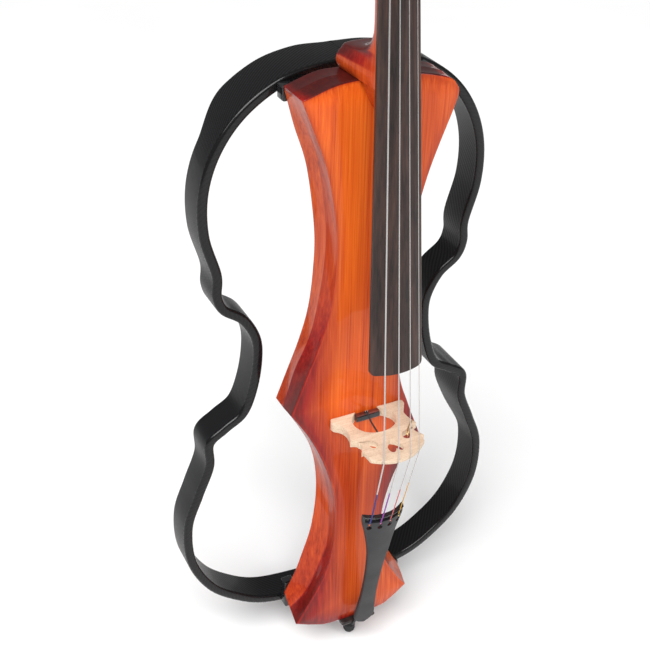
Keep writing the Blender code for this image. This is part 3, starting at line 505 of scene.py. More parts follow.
VARNISH = varnish("varnish_shaded")
VARNISH_NECK = varnish("varnish_neck")
BOARD_WOOD = dark_wood("fingerboard_wood", (0.013, 0.01, 0.0095), (0.07, 0.036, 0.028), 0.4)
EBONY = dark_wood("ebony_fittings", (0.01, 0.008, 0.008), (0.04, 0.026, 0.022), 0.35)
BAR_WOOD = dark_wood("bar_wood", (0.06, 0.01, 0.006), (0.2, 0.035, 0.02), 0.35, 0.5)
MAPLE = maple("bridge_maple")
CARBON_SIDE = carbon("carbon_side", 0.5, 0.13, 0.26, 0.034)
CARBON_RIM = carbon("carbon_rim", 0.34, 0.4, 0.18, 0.012)
GREY = moulded("grey_composite", (0.008, 0.0086, 0.0104), 0.52, 0.08)
BLACK = moulded("black_plastic", (0.016, 0.016, 0.017), 0.42)
GLOSS_BLACK = moulded("gloss_black", (0.01, 0.01, 0.011), 0.16, 0.03)
STEEL = metal("steel", (0.63, 0.63, 0.65), 0.24)
STRING_METAL = metal("string_winding", (0.56, 0.55, 0.54), 0.3, (200, 200, 4200))
CHROME = metal("chrome", (0.8, 0.8, 0.82), 0.1)
BRASS = metal("gold_wire", (0.8, 0.55, 0.22), 0.25)
RUBBER = rubber_look("rubber")
CORD_BLACK = thread("black_cord", (0.03, 0.03, 0.032))
WHITE_MARK = moulded("white_mark", (0.72, 0.72, 0.7), 0.5, 0.05)
SILKS = {"c": thread("silk_c", (0.03, 0.028, 0.2)), "g": thread("silk_g", (0.33, 0.05, 0.4)),
         "d": thread("silk_d", (0.72, 0.14, 0.15)), "a": thread("silk_a", (0.86, 0.43, 0.02))}
BALLS = {"c": moulded("ball_c", (0.8, 0.16, 0.03), 0.35), "g": moulded("ball_g", (0.62, 0.12, 0.42), 0.35),
         "d": moulded("ball_d", (0.75, 0.22, 0.22), 0.35), "a": moulded("ball_a", (0.78, 0.52, 0.03), 0.35)}
BOARD_GREEN = circuit("circuit_board")


# Wooden core: closed outlines of the front face, the crease along the sides and the back face, as (x, z) in
# millimetres. Each has six stretches from corner to corner: bottom, treble side below and above its point,
# top, bass side above and below its point.
OUTLINES = {
    "front": [
        [(-86.2, 20.5), (-60.5, 8), (-35, 1), (31, 1), (51, 9)],
        [(71.8, 24.8), (58, 46), (36, 92), (30, 150), (36, 195), (53, 240)],
        [(79, 268), (58, 325), (44, 372), (38.5, 450), (45.2, 530), (63.7, 616), (91.7, 693)],
        [(94, 709), (85, 720), (60, 729), (24, 735), (-24, 735), (-50, 732)],
        [(-81, 722), (-66.4, 683.6), (-51.7, 640), (-40.8, 575), (-40.5, 525), (-45.8, 479.8),
         (-57.4, 442), (-76, 396)],
        [(-93, 353), (-71, 316), (-51.7, 271.6), (-36.6, 219.1), (-33.8, 171.1), (-37, 127.9), (-48.7, 88),
         (-67, 53.1)],
    ],
    "crease": [
        [(-85.8, 30.6), (-61, 11.5), (-35, 1), (31, 1), (53, 9.5)],
        [(76, 27.5), (62, 46), (40, 92), (32, 150), (37, 195), (54, 239)],
        [(79.5, 267.5), (63.5, 325), (48.5, 372), (41.7, 450), (47.2, 530), (64.8, 616), (91.2, 693)],
        [(93.5, 709.5), (85, 721), (60, 730), (24, 735), (-24, 735), (-50, 734)],
        [(-83, 724), (-68, 688), (-54, 648), (-44.2, 580), (-45, 530), (-52.2, 479), (-62.2, 438),
         (-80, 399)],
        [(-94, 352.5), (-68, 309), (-49, 265), (-37, 215), (-32.8, 165), (-35, 125), (-44.8, 91),
         (-64, 50)],
    ],
    "back": [
        [(-85, 40), (-61, 16.5), (-35, 1), (31, 1), (54, 10)],
        [(80, 28), (70, 46), (48, 92), (40, 150), (44, 195), (60, 238)],
        [(80, 267), (59, 325), (48, 372), (44, 450), (50, 530), (67, 616), (90, 694)],
        [(92, 711), (84, 722), (60, 730), (24, 735), (-24, 735), (-50, 734)],
        [(-83, 724), (-72.1, 681.9), (-57.5, 633), (-48.3, 560), (-49.2, 510), (-54.8, 464), (-65.8, 425),
         (-81.3, 385)],
        [(-94, 352.5), (-64, 299), (-49.6, 265), (-42.9, 227.5), (-42.4, 184.6), (-48.4, 138.3),
         (-59.3, 101.6), (-70.6, 69)],
    ],
}
ACROSS = 40                     # grid columns on the core's faces
UPWARDS = 200                   # grid rows
STRETCH_STEPS = (ACROSS, 70, UPWARDS - 70, ACROSS, UPWARDS - 94, 94)
CORNERS = np.cumsum((0,) + STRETCH_STEPS)[:-1]
EDGE_RADIUS = 0.0014
CROWN_DROP = 0.003              # how far the front falls away at its edge
CROWN_WIDTH = 0.026
SCOOP = 0.0007                  # hollow of the sides
CREASE_Y = 0.001
LOW_SHADE = 0.3                 # how much redder the bass side gets towards its low end
# Painted shade round the waist's pointed corners and the lowest corner
SHADED_CORNERS = {0: (0.085, 0.75), 2: (0.105, 1.0), 5: (0.115, 1.0)}      # (reach, strength)


def core_ring(layer):
    stretches = [mm(stretch) for stretch in OUTLINES[layer]]
    ring = []
    for stretch, after, steps in zip(stretches, stretches[1:] + stretches[:1], STRETCH_STEPS):
        ring.append(resample(smooth_through(stretch + after[:1], 12), steps + 1)[:-1])
    return np.concatenate(ring)


def inset(ring, amount):
    """The ring moved inwards by an amount, or by one amount for each point."""
    before = np.roll(ring, 1, axis=0)
    after = np.roll(ring, -1, axis=0)
    first = ring - before
    second = after - ring
    first /= np.linalg.norm(first, axis=1)[:, None]
    second /= np.linalg.norm(second, axis=1)[:, None]
    inward = np.stack([-(first + second)[:, 1], (first + second)[:, 0]], axis=1)
    inward /= np.linalg.norm(inward, axis=1)[:, None]
    square = np.maximum((inward * np.stack([-first[:, 1], first[:, 0]], axis=1)).sum(axis=1), 0.5)
    return ring + inward * (np.asarray(amount) / square)[:, None]


def corner_fade(ring):
    """0 at the outline's corners, 1 from 20 mm away."""
    nearest = np.min([np.linalg.norm(ring - ring[index], axis=1) for index in CORNERS], axis=0)
    return np.clip(nearest / 0.02, 0, 1)


def coons(ring):
    """Grid of points inside a ring, [row][column], that meets the ring all round."""
    bottom = ring[:ACROSS + 1]
    treble = ring[ACROSS:ACROSS + UPWARDS + 1]
    top = ring[ACROSS + UPWARDS:2 * ACROSS + UPWARDS + 1][::-1]
    bass = np.concatenate([ring[2 * ACROSS + UPWARDS:], ring[:1]])[::-1]
    u = np.linspace(0, 1, ACROSS + 1)[None, :, None]
    v = np.linspace(0, 1, UPWARDS + 1)[:, None, None]
    corners = ((1 - u) * (1 - v) * bottom[0] + u * (1 - v) * bottom[-1]
               + (1 - u) * v * top[0] + u * v * top[-1])
    return (1 - v) * bottom[None] + v * top[None] + (1 - u) * bass[:, None] + u * treble[:, None] - corners


def grid_faces(start, ring_start):
    """Faces of a grid whose rim uses the ring's points; inner points follow start, row by row."""
    def index(row, column):
        if row == 0:
            return ring_start + column
        if column == ACROSS:
            return ring_start + ACROSS + row
        if row == UPWARDS:
            return ring_start + ACROSS + UPWARDS + (ACROSS - column)
        if column == 0:
            return ring_start + 2 * ACROSS + UPWARDS + (UPWARDS - row)
        return start + (row - 1) * (ACROSS - 1) + column - 1
    return [(index(r, c), index(r, c + 1), index(r + 1, c + 1), index(r + 1, c))
            for r in range(UPWARDS) for c in range(ACROSS)]


def edge_distance(points, ring):
    """Distance of each point to the ring, by its nearest stretch."""
    ends = np.roll(ring, -1, axis=0)
    run = ends - ring
    lengths = (run ** 2).sum(axis=1)
    best = np.full(len(points), 1.0)
    for start, step, length in zip(ring, run, lengths):
        t = np.clip(((points - start) @ step) / length, 0, 1)
        best = np.minimum(best, np.linalg.norm(points - start - t[:, None] * step, axis=1))
    return best


def corner_shade_weight(points):
    """Weight of the painted shade: 1 next to the waist's pointed corners, less at the lowest corner,
    falling to 0 away from them.
    """
    weights = []
    for index, (reach, strength) in SHADED_CORNERS.items():
        away = np.linalg.norm(points - np.array(OUTLINES["front"][index][0]) / 1000, axis=1)
        weights.append(strength * np.exp(-(away / reach) ** 2))
    return np.max(weights, axis=0)


def core_rings(front, crease, back):
    """Rings from the front's edge to the back: (ring, y, painted shade far from and next to the shaded
    corners).
    """
    edge_y = FRONT_Y + CROWN_DROP
    first_y = edge_y + EDGE_RADIUS
    last_y = BACK_Y - EDGE_RADIUS
    rings = []
    for step, (cosine, sine) in enumerate(arc(4)):
        rings.append((inset(front, EDGE_RADIUS * (1 - sine)), edge_y + EDGE_RADIUS * (1 - cosine),
                      0.3 + 0.14 * step / 4, 0.66 + 0.34 * step / 4))
    for steps, start, end, start_y, end_y, scoop, plain, near in (
            (10, front, crease, first_y, CREASE_Y, SCOOP, 0.42, (1.0, -0.16)),
            (12, crease, back, CREASE_Y, last_y, 0.6 * SCOOP, 0.28, (0.46, 0.0))):
        for step in range(1, steps + 1):
            t = step / steps
            ring = start * (1 - t) + end * t
            hollow = scoop * math.sin(math.pi * t) * corner_fade(ring)
            rings.append((inset(ring, hollow), start_y + (end_y - start_y) * t, plain,
                          near[0] + near[1] * t))
    for cosine, sine in arc(4)[1:]:
        rings.append((inset(back, EDGE_RADIUS * (1 - cosine)), last_y + EDGE_RADIUS * sine, 0.24, 0.45))
    return rings


def make_core():
    rings = core_rings(*(core_ring(layer) for layer in OUTLINES))
    points = []
    shade = []
    for ring, y, plain, corner in rings:
        points += [(x, y, z) for x, z in ring]
        # Painted shade: deeper red and maroon round the waist's corners and the lowest corner and along the
        # front edge. The bass side also darkens towards its low end, and the top end turns maroon.
        near = corner_shade_weight(ring)
        plain = plain + LOW_SHADE * np.clip((0.17 - ring[:, 1]) / 0.11, 0, 1) * (ring[:, 0] < 0)
        top = np.clip((ring[:, 1] - 0.716) / 0.01, 0, 1) * (1 if y > FRONT_Y + CROWN_DROP else 0.4)
        shade += list(np.maximum(plain * (1 - near) + corner * near, top))
    count = len(rings[0][0])
    faces = skin_faces(len(rings), count)
    for row in (0, len(rings) - 1):
        ring, y = rings[row][:2]
        inner = coons(ring)[1:-1, 1:-1].reshape(-1, 2)
        distance = edge_distance(inner, ring)
        faces += grid_faces(len(points), row * count)
        crown = FRONT_Y + CROWN_DROP * np.clip(1 - distance / CROWN_WIDTH, 0, 1) ** 2
        points += [(x, y if row else depth, z) for (x, z), depth in zip(inner, crown)]
        # Painted shade and reflection on the front: deeper red by the edge near the corners and a thin dark
        # line at the edge, and darker towards the low end and the upper treble side, standing in for
        # reflections.
        low = 0.24 * np.clip((0.32 - inner[:, 1]) / 0.12, 0, 1)
        high = 0.24 * np.clip((inner[:, 0] - 0.022) / 0.02, 0, 1)
        high *= np.clip((inner[:, 1] - 0.48) / 0.08, 0, 1)
        shade += list(0.72 * np.exp(-(distance / 0.033) ** 2) * corner_shade_weight(inner) + low + high
                      + 0.16 * np.exp(-(distance / 0.006) ** 2))
    core = mesh_from("core", points, faces, VARNISH)
    store(core, "shade", shade)
    pocket = slab("pocket", rounded(0.033, 0.0355, 0.003), 0.0075, 0.05, 0.0005, facing(0, 0.3015), VARNISH)
    bay = slab("bay", rounded(0.0165, 0.0295, 0.002), -0.001, 0.05, 0.0005, facing(0, 0.627), VARNISH)
    cut(core, [pocket, bay], 50)
    corners = core.data.vertices
    for edge in core.data.edges:
        if all(abs(corners[index].co.y - CREASE_Y) < 1e-5 for index in edge.vertices):
            edge.use_edge_sharp = True
    stand_in("body_core", "varnished_wood", core)


make_core()


# Carbon frame: centreline of the treble half's front rim, (x, z), from the top middle to the bottom middle
FRAME_LINE = mm([
    (0.2, 731), (40, 729), (81, 719), (121, 693), (149, 657), (164, 614), (165, 566), (153, 518),
    (153.5, 492), (146, 473), (124, 455), (110, 428), (108, 400), (114, 362), (127, 329), (150, 313),
    (170, 297), (171.5, 264), (187, 224), (202, 180), (200, 124), (177, 74), (142, 41), (104, 20.5),
    (52, 12), (0.2, 10)
])
FRAME_STEPS = 420


def frame_back(x, z, side):
    """Back edge of the band: deeper over the shoulders, and under the treble waist."""
    rise = ease((z - 0.655) / 0.045) * (1 - 0.32 * ease((x + 0.045) / 0.045) * ease((0.13 - x) / 0.04))
    if side > 0:
        rise = max(rise, ease((0.353 - z) / 0.022) * ease((z - 0.188) / 0.046))
    return FRAME_BACK_Y + (SHOULDER_BACK_Y - FRAME_BACK_Y) * rise


def band_section(back):
    """Section of the band: (across, y) from the outer back edge forwards, over the rim and back."""
    half = FRAME_WIDTH / 2
    rim = 0.0036
    tail = 0.0016
    corners = ((half - rim, FRAME_FRONT_Y + rim, rim), (-half + rim, FRAME_FRONT_Y + rim, rim),
               (-half + tail, back - tail, tail), (half - tail, back - tail, tail))
    return [(x + radius * cosine, y - radius * sine) for quarter, (x, y, radius) in enumerate(corners)
            for cosine, sine in arc(6, start=math.pi / 2 * quarter)]


def make_frame_half(name, side):
    line = resample(smooth_through(FRAME_LINE, 16), FRAME_STEPS)
    line[:, 0] *= side
    along = np.gradient(line, axis=0)
    along /= np.linalg.norm(along, axis=1)[:, None]
    out = np.stack([-along[:, 1], along[:, 0]], axis=1) * side
    for end in (0, -1):
        out[end] = (0, math.copysign(1, out[end][1]))
    rings = []
    band = []
    for (x, z), (nx, nz), run in zip(line, out, travel(line)):
        section = band_section(frame_back(x, z, side))
        rings.append([(x + nx * n, y, z + nz * n) for n, y in section])
        band += [(run, around + 1.0, 0.0) for around in travel(section)]
    half = loft(name, rings, [CARBON_SIDE, CARBON_RIM], 40)
    store(half, "band", band)
    count = len(rings[0])
    for face in half.data.polygons[:(FRAME_STEPS - 1) * count]:
        face.material_index = 1 if face.index % count <= 12 else 0
    return half


for label, side in (("bass", -1), ("treble", 1)):
    stand_in(label + "_frame", "carbon_fibre", make_frame_half(label + "_carbon_band", side))


# Fingerboard, nut, neck, pegbox and scroll
BOARD_END_Z = 0.4353
BOARD_TIP = 0.0035              # how far the board reaches past the height its sizes are given for
BOARD_END_Y = -0.093
BOARD_NUT_Y = -0.04
BOARD_END_WIDTH = 0.0626
BOARD_NUT_WIDTH = 0.032
BOARD_RADIUS = 0.065
BOARD_EDGE = 0.0055
FLAT_FROM = -0.36               # share of the half width where the facet under the lowest string begins
HEEL_Z = TOP_Z + GAP
NECK_TOP_Z = NUT_Z + 0.006
NUT_STRING_Y = -0.0419


def board_share(z):
    return (z - BOARD_END_Z) / (NUT_Z - BOARD_END_Z)


def board_half(z):
    return (BOARD_END_WIDTH + (BOARD_NUT_WIDTH - BOARD_END_WIDTH) * board_share(z)) / 2


def board_drop(x):
    return BOARD_RADIUS - math.sqrt(BOARD_RADIUS ** 2 - x ** 2)


def board_front(x, z):
    """Arched front with the flat facet on the bass side."""
    half = board_half(z)
    flat_x = FLAT_FROM * half
    drop = board_drop(min(max(x, flat_x), half))
    if x < flat_x:
        drop += (board_drop(half) - drop) * (flat_x - x) / (half + flat_x)
    return BOARD_END_Y + (BOARD_NUT_Y - BOARD_END_Y) * board_share(z) + drop


def board_under(z):
    at_end = BOARD_END_Y + board_drop(BOARD_END_WIDTH / 2)
    at_nut = BOARD_NUT_Y + board_drop(BOARD_NUT_WIDTH / 2)
    return at_end + (at_nut - at_end) * board_share(z) + BOARD_EDGE


def make_fingerboard():
    corner = 0.005              # round lower corners
    soft = 0.0007
    tip = BOARD_END_Z - BOARD_TIP
    straight = NUT_Z - 0.003 - tip - corner
    stations = [(tip + corner * (1 - cosine), corner * (1 - sine)) for cosine, sine in arc(8)]
    stations += [(tip + corner + straight * step / 60, 0.0) for step in range(1, 61)]
    rings = []
    for z, trim in stations:
        half = board_half(z) - trim
        under = board_under(z)
        hollow = 0.0022 * unit((0.7 - z) / 0.06)
        flat_x = FLAT_FROM * board_half(z)
        across = [*np.linspace(-half + soft, flat_x, 10), *np.linspace(flat_x, half - soft, 26)[1:]]
        ring = [(x, board_front(x, z), z) for x in across]
        treble = board_front(half, z)
        ring += [(half - 0.3 * soft, treble + 0.3 * soft, z), (half, treble + soft, z),
                 (half, under - soft, z), (half - soft, under, z)]
        ring += [(share * (half - 0.004), under - hollow * (1 - share ** 2), z)
                 for share in (1.0, 0.6, 0.2, -0.2, -0.6, -1.0)]
        bass = board_front(-half, z)
        ring += [(-half + soft, under, z), (-half, under - soft, z), (-half, bass + soft, z),
                 (-half + 0.3 * soft, bass + 0.3 * soft, z)]
        rings.append(ring)
    board = loft("arched_fingerboard", rings, BOARD_WOOD, 50)
    count = len(rings[0])
    for edge in board.data.edges:       # the facet's edge
        first, second = edge.vertices
        if abs(first - second) == count and first % count == 9:
            edge.use_edge_sharp = True
    stand_in("fingerboard", "ebony", board)


def make_nut():
    low = NUT_Z - 0.0027
    high = NUT_Z + 0.003
    front = NUT_STRING_Y + 0.0013
    back = board_under(NUT_Z) - 0.0002
    rings = []
    for step in range(121):
        x = -0.0162 + 0.0324 * step / 120
        land = 0.0005
        for across, radius in STRINGS.values():
            away = abs(x - across * NUT_SPREAD / 2) / (radius + 0.0005)
            land = min(land, 0.0005 * min(away ** 2, 1.0))
        end = 0.0006 if step in (0, 120) else 0.0
        top = front - land + end
        rings.append([(x, back, low + end), (x, top + 0.0012, low + end),
                      (x, top + 0.0003, low + 0.0005 + end), (x, top, low + 0.0014),
                      (x, top + 0.0003, high - 0.0012), (x, top + 0.001, high - 0.0004 - end),
                      (x, top + 0.002, high - end), (x, back, high - end)])
    nut = loft("grooved_nut", rings, EBONY, 40)
    stand_in("nut", "ebony", nut)


HEEL_STATIONS = [               # (height, back, rounded share, half width at the back, squareness)
    (HEEL_Z, 0.022, 0.1, 0.0234, 0.24), (0.74, 0.022, 0.1, 0.0265, 0.24),
    (0.745, 0.022, 0.1, 0.0275, 0.26), (0.751, 0.022, 0.12, 0.0262, 0.34),
    (0.756, 0.0218, 0.16, 0.0236, 0.5), (0.76, 0.02, 0.2, 0.022, 0.6),
    (0.7625, 0.006, 0.3, 0.0212, 0.7), (0.766, -0.008, 0.45, 0.0206, 0.8),
    (0.772, -0.0195, 0.6, 0.0203, 0.9), (0.782, -0.0265, 0.8, 0.0201, 1.0),
    (0.805, -0.029, 0.9, 0.0198, 1.0),
]


def neck_ring(z, back, belly, back_half, square):
    half = min(board_half(z) - 0.0002, 0.0205)
    front = board_under(z) + GAP
    straight = front + (back - front) * (1 - belly)
    depth = back - straight
    ring = [(back_half * math.copysign(abs(cosine) ** square, cosine),
             straight + depth * abs(sine) ** square, z) for cosine, sine in arc(32, math.pi)]
    ring += [(-half, front + 0.0006, z), (-half + 0.0005, front, z)]
    ring += [(half - 0.0005, front, z), (half, front + 0.0006, z)]
    return ring


NECK_SHADE = 0.38
# Painted reflection and shade: the heel's upward top is turned dark brown
HEEL_TOP_SHADE_START = (                 # the heel's dark top: depths, and the height it begins at
    (-0.045, -0.041, -0.035, -0.0216, 0.022), (0.795, 0.78, 0.768, 0.7555, 0.747))


def make_neck():
    stations = list(HEEL_STATIONS)
    for z, depth, belly in ((0.9, 0.0195, 0.9), (NECK_TOP_Z, 0.018, 0.85)):
        stations.append((z, board_under(z) + depth, belly, min(board_half(z) - 0.0002, 0.0198), 1.0))
    rings = [neck_ring(*station) for station in smooth_through(stations, 6)]
    neck = loft("neck_and_heel", rings, VARNISH_NECK, 50)
    # Painted reflection and shade on the heel's top
    heel_top_shade = [NECK_SHADE + 0.58 * ease((vert.co.z - np.interp(vert.co.y, *HEEL_TOP_SHADE_START)) / 0.0035)
             * ease((0.79 - vert.co.z) / 0.014) for vert in neck.data.vertices]
    store(neck, "shade", heel_top_shade)
    foot = []
    stations = [(0.701, 0.005, -0.04), (0.711, 0.01, FRONT_Y - GAP), (0.723, 0.0155, FRONT_Y - GAP),
                (HEEL_Z + 0.004, 0.0204, FRONT_Y - GAP)]
    for z, half, back in smooth_through(stations, 6):
        front = board_under(z) + 2 * GAP
        back = min(back, FRONT_Y - GAP)
        foot.append([(-half, front, z), (half, front, z), (half, back - 0.0006, z),
                     (half - 0.0006, back, z), (-half + 0.0006, back, z), (-half, back - 0.0006, z)])
    heel_foot = loft("heel_foot", foot, VARNISH_NECK, 40)
    store(heel_foot, "shade", [NECK_SHADE] * len(heel_foot.data.vertices))
    return [neck, heel_foot]


PEGBOX = [                      # (height, half width, front, back)
    (NUT_Z + 0.004, 0.018, -0.036, -0.008), (1.06, 0.0172, -0.0365, -0.001),
    (1.12, 0.015, -0.029, 0.004), (1.165, 0.0135, -0.018, 0.011),
]
CHANNEL = [                     # (height, half width, floor)
    (NUT_Z + 0.0062, 0.0128, -0.022), (1.05, 0.0108, -0.008), (1.14, 0.0078, -0.002),
]


def peg_axis(lift):
    return Vector((0, -0.0185 + 0.0065 * (lift - 0.032) / 0.075, NUT_Z + lift))


def make_pegbox():
    rings = []
    for z, half, front, back in smooth_through(PEGBOX, 10):
        ring = [(side * (half - 0.006) + 0.006 * cosine, back - 0.006 + 0.006 * sine, z)
                for side, start in ((1, 0.0), (-1, math.pi / 2)) for cosine, sine in arc(5, start=start)]
        ring += [(-half, front + 0.0008, z), (-half + 0.0008, front, z), (half - 0.0008, front, z),
                 (half, front + 0.0008, z)]
        rings.append(ring)
    box = loft("pegbox", rings, VARNISH_NECK, 45)
    hollow = [[(-half, -0.06, z), (half, -0.06, z), (half, floor - 0.002, z), (half - 0.002, floor, z),
               (-half + 0.002, floor, z), (-half, floor - 0.002, z)]
              for z, half, floor in smooth_through(CHANNEL, 8)]
    cutters = [loft("channel_cutter", hollow, VARNISH_NECK)]
    cutters += [drill(peg_axis(lift), (1, 0, 0), PEG_RADIUS + 0.0004, 0.03, VARNISH_NECK, 32)
                for _side, lift, _winding in PEGS.values()]
    return cut(box, cutters, 45)


SCROLL_CENTRE = (-0.006, 1.172)
SCROLL = [                      # (turn in degrees from the back, radius, half width)
    (-30, 0.021, 0.0132), (0, 0.0235, 0.0128), (90, 0.026, 0.0125), (180, 0.0235, 0.0135),
    (270, 0.02, 0.016), (360, 0.0165, 0.0185), (450, 0.0135, 0.021), (540, 0.0115, 0.023),
    (630, 0.01, 0.0245), (690, 0.009, 0.0252),
]


def make_scroll():
    turns, radii, halves = zip(*SCROLL)
    centre_y, centre_z = SCROLL_CENTRE
    rings = []
    for step in range(121):
        turn = -30 + 6 * step
        reach = np.interp(turn, turns, radii)
        half = np.interp(turn, turns, halves)
        inner = 0.93 * np.interp(min(turn + 360, 690), turns, radii) if turn < 330 else 0.006
        soft = 0.0011
        section = [(-half, inner), (-half, reach - soft), (-half + soft, reach),
                   (-half * 0.5, reach - 0.0014), (0, reach - 0.0004), (half * 0.5, reach - 0.0014),
                   (half - soft, reach), (half, reach - soft), (half, inner)]
        angle = math.radians(turn)
        rings.append([(x, centre_y + r * math.cos(angle), centre_z + r * math.sin(angle))
                      for x, r in section])
    scroll = loft("scroll", rings, VARNISH_NECK, 40)
    eye = lathe("scroll_eye", mm([(0, -26), (5.5, -25.8), (8.2, -24.6), (8.6, -23.6), (8.6, 23.6),
                                  (8.2, 24.6), (5.5, 25.8), (0, 26)]), (0, *SCROLL_CENTRE), (1, 0, 0),
                VARNISH_NECK, 40)
    return [scroll, eye]


make_fingerboard()
make_nut()
head = [make_pegbox()] + make_scroll()
for piece in head:
    store(piece, "shade", [NECK_SHADE] * len(piece.data.vertices))
for piece in make_neck() + head:
    stand_in("neck", "varnished_wood", piece)


# Pegs with shaped heads, and the string's turns round them
def make_peg(name, side, lift, winding_x):
    peg = "peg_" + name
    half = 0.0178 - 0.003 * (lift - 0.03) / 0.08
    collar = half + 0.0012
    end = -half - 0.004
    profile = [(0, collar + 0.014), (0.005, collar + 0.013), (0.0043, collar + 0.0105),
               (0.0041, collar + 0.008), (0.005, collar + 0.005), (0.0066, collar + 0.0032),
               (0.007, collar + 0.002), (0.0068, collar + 0.0006), (0.006, collar), (PEG_RADIUS, collar),
               (PEG_RADIUS, end + 0.0012), (PEG_RADIUS - 0.0004, end + 0.0004), (PEG_RADIUS - 0.0014, end),
               (0, end)]
    axis = peg_axis(lift)
    shaft = lathe("peg_shaft_" + name, profile, axis, (side, 0, 0), EBONY, 40, body=peg)
    middle = axis + Vector((side * (collar + 0.024), 0, 0))
    dish = mm([(0, -2.2), (6, -2.4), (9.8, -3.6), (11.8, -3.6), (13, -2.4), (13.5, -0.8), (13.5, 0.8),
               (13, 2.4), (11.8, 3.6), (9.8, 3.6), (6, 2.4), (0, 2.2)])
    waist = 0 if side < 0 else math.pi
    head = lathe("peg_head_" + name, dish, middle, OUT, EBONY, 56,
                 lambda angle, height: 1 - 0.16 * max(math.cos(angle - waist), 0) ** 2, peg)
    profile = mm([(0, 2.8), (1.6, 2.4), (2.7, 1), (2.8, 0), (2, -1), (1.6, -1.6), (0, -1.6)])
    end_at = axis + Vector((side * (collar + 0.0356), 0, 0))
    bead = lathe("peg_button_" + name, profile, end_at, (side, 0, 0), EBONY, 24, body=peg)
    stand_in(peg, "ebony", shaft, head, bead)
    radius = STRINGS[name][1]
    wire = max(radius, 0.0006)
    turns = 0.0052 / (2 * wire)
    helix = []
    for step in range(int(turns * 18) + 1):
        angle = 2 * math.pi * step / 18 - math.pi / 2
        helix.append(axis + Vector((winding_x - 0.0026 + 0.0052 * step / (turns * 18),
                                    0.00555 * math.cos(angle), 0.00555 * math.sin(angle))))
    coil = tube("string_turns_" + name, helix, min(wire, 0.00063), SILKS[name], 10, peg)
    stand_in("winding_" + name, "steel", coil)


for name, (side, lift, winding_x) in PEGS.items():
    make_peg(name, side, lift, winding_x)


# Bridge: smooth half outlines, mirrored; heart and kidneys; foot to crown taper
BRIDGE_SIDE = [                 # stretches between corners, (x, height above the body)
    mm([(15, 0.3), (30, 0.6), (44, 0.3)]),
    mm([(44, 0.3), (45.8, 1.6), (46.2, 4.8), (45, 8.5), (41, 12.5), (37.8, 18.5), (37, 26), (38.4, 35),
        (41.5, 43)]),
    mm([(41.5, 43), (38.5, 44), (35, 46.5), (33.3, 50.5), (33.5, 56), (36.5, 61), (38.8, 65)]),
    mm([(38.8, 65), (35, 64)]),
]
BRIDGE_ARCH = mm([
    (15, 0.3), (17.6, 3), (22.5, 8.5), (25.8, 16.5), (25.2, 26.5), (20, 35), (11, 40.5), (0, 42.5)
])
BRIDGE_HEART = mm([(0, 57), (4, 60.5), (7.8, 66.5), (9.2, 72.5), (7.5, 77.5), (3.5, 78), (0, 73.8)])
BRIDGE_KIDNEY = mm([
    (34.5, 47.8), (30, 49.2), (26.2, 49.8), (22.2, 50.8), (17.8, 53.5), (15.8, 58), (17.2, 62.5),
    (21.5, 64), (25.2, 61.2), (26.8, 56), (29.5, 52.5), (34, 50)
])
FOOT_THICKNESS = 0.0125
CROWN_THICKNESS = 0.0045
STRING_SPREAD = 0.0468


def bridge_thickness(height):
    return FOOT_THICKNESS + (CROWN_THICKNESS - FOOT_THICKNESS) * unit((height - 0.01) / 0.07)


def crown_height(x):
    """Top of the bridge: higher on the bass side."""
    return 0.0845 - 0.0812 * x + 0.0068 * (1 - (x / (STRING_SPREAD / 2)) ** 2)


def crown_edge(x):
    """The crown with its string notches."""
    land = 0.0005
    for across, radius in STRINGS.values():
        away = abs(x - across * STRING_SPREAD / 2) / (radius + 0.0008)
        land = min(land, 0.0005 * away ** 2)
    return crown_height(x) + land


def signed_area(outline):
    return sum(a[0] * b[1] - b[0] * a[1] for a, b in zip(outline, outline[1:] + outline[:1])) / 2


def flat_plate(outlines, soft):
    """Mesh of a plate with soft edges, one metre thick; the outlines after the first are holes."""
    data = bpy.data.curves.new("outline", "CURVE")
    data.dimensions = "2D"
    data.fill_mode = "BOTH"
    data.extrude = 0.5
    data.bevel_depth = soft
    data.bevel_resolution = 1
    for index, outline in enumerate(outlines):
        if (signed_area(outline) > 0) == (index > 0):
            outline = outline[::-1]
        spline = data.splines.new("POLY")
        spline.points.add(len(outline) - 1)
        for point, (x, y) in zip(spline.points, outline):
            point.co = (x, y, 0, 1)
        spline.use_cyclic_u = True
    item = bpy.data.objects.new("outline", data)
    scene.collection.objects.link(item)
    bpy.context.view_layer.update()
    mesh = bpy.data.meshes.new_from_object(item.evaluated_get(bpy.context.evaluated_depsgraph_get()))
    bpy.data.objects.remove(item, do_unlink=True)
    return mesh


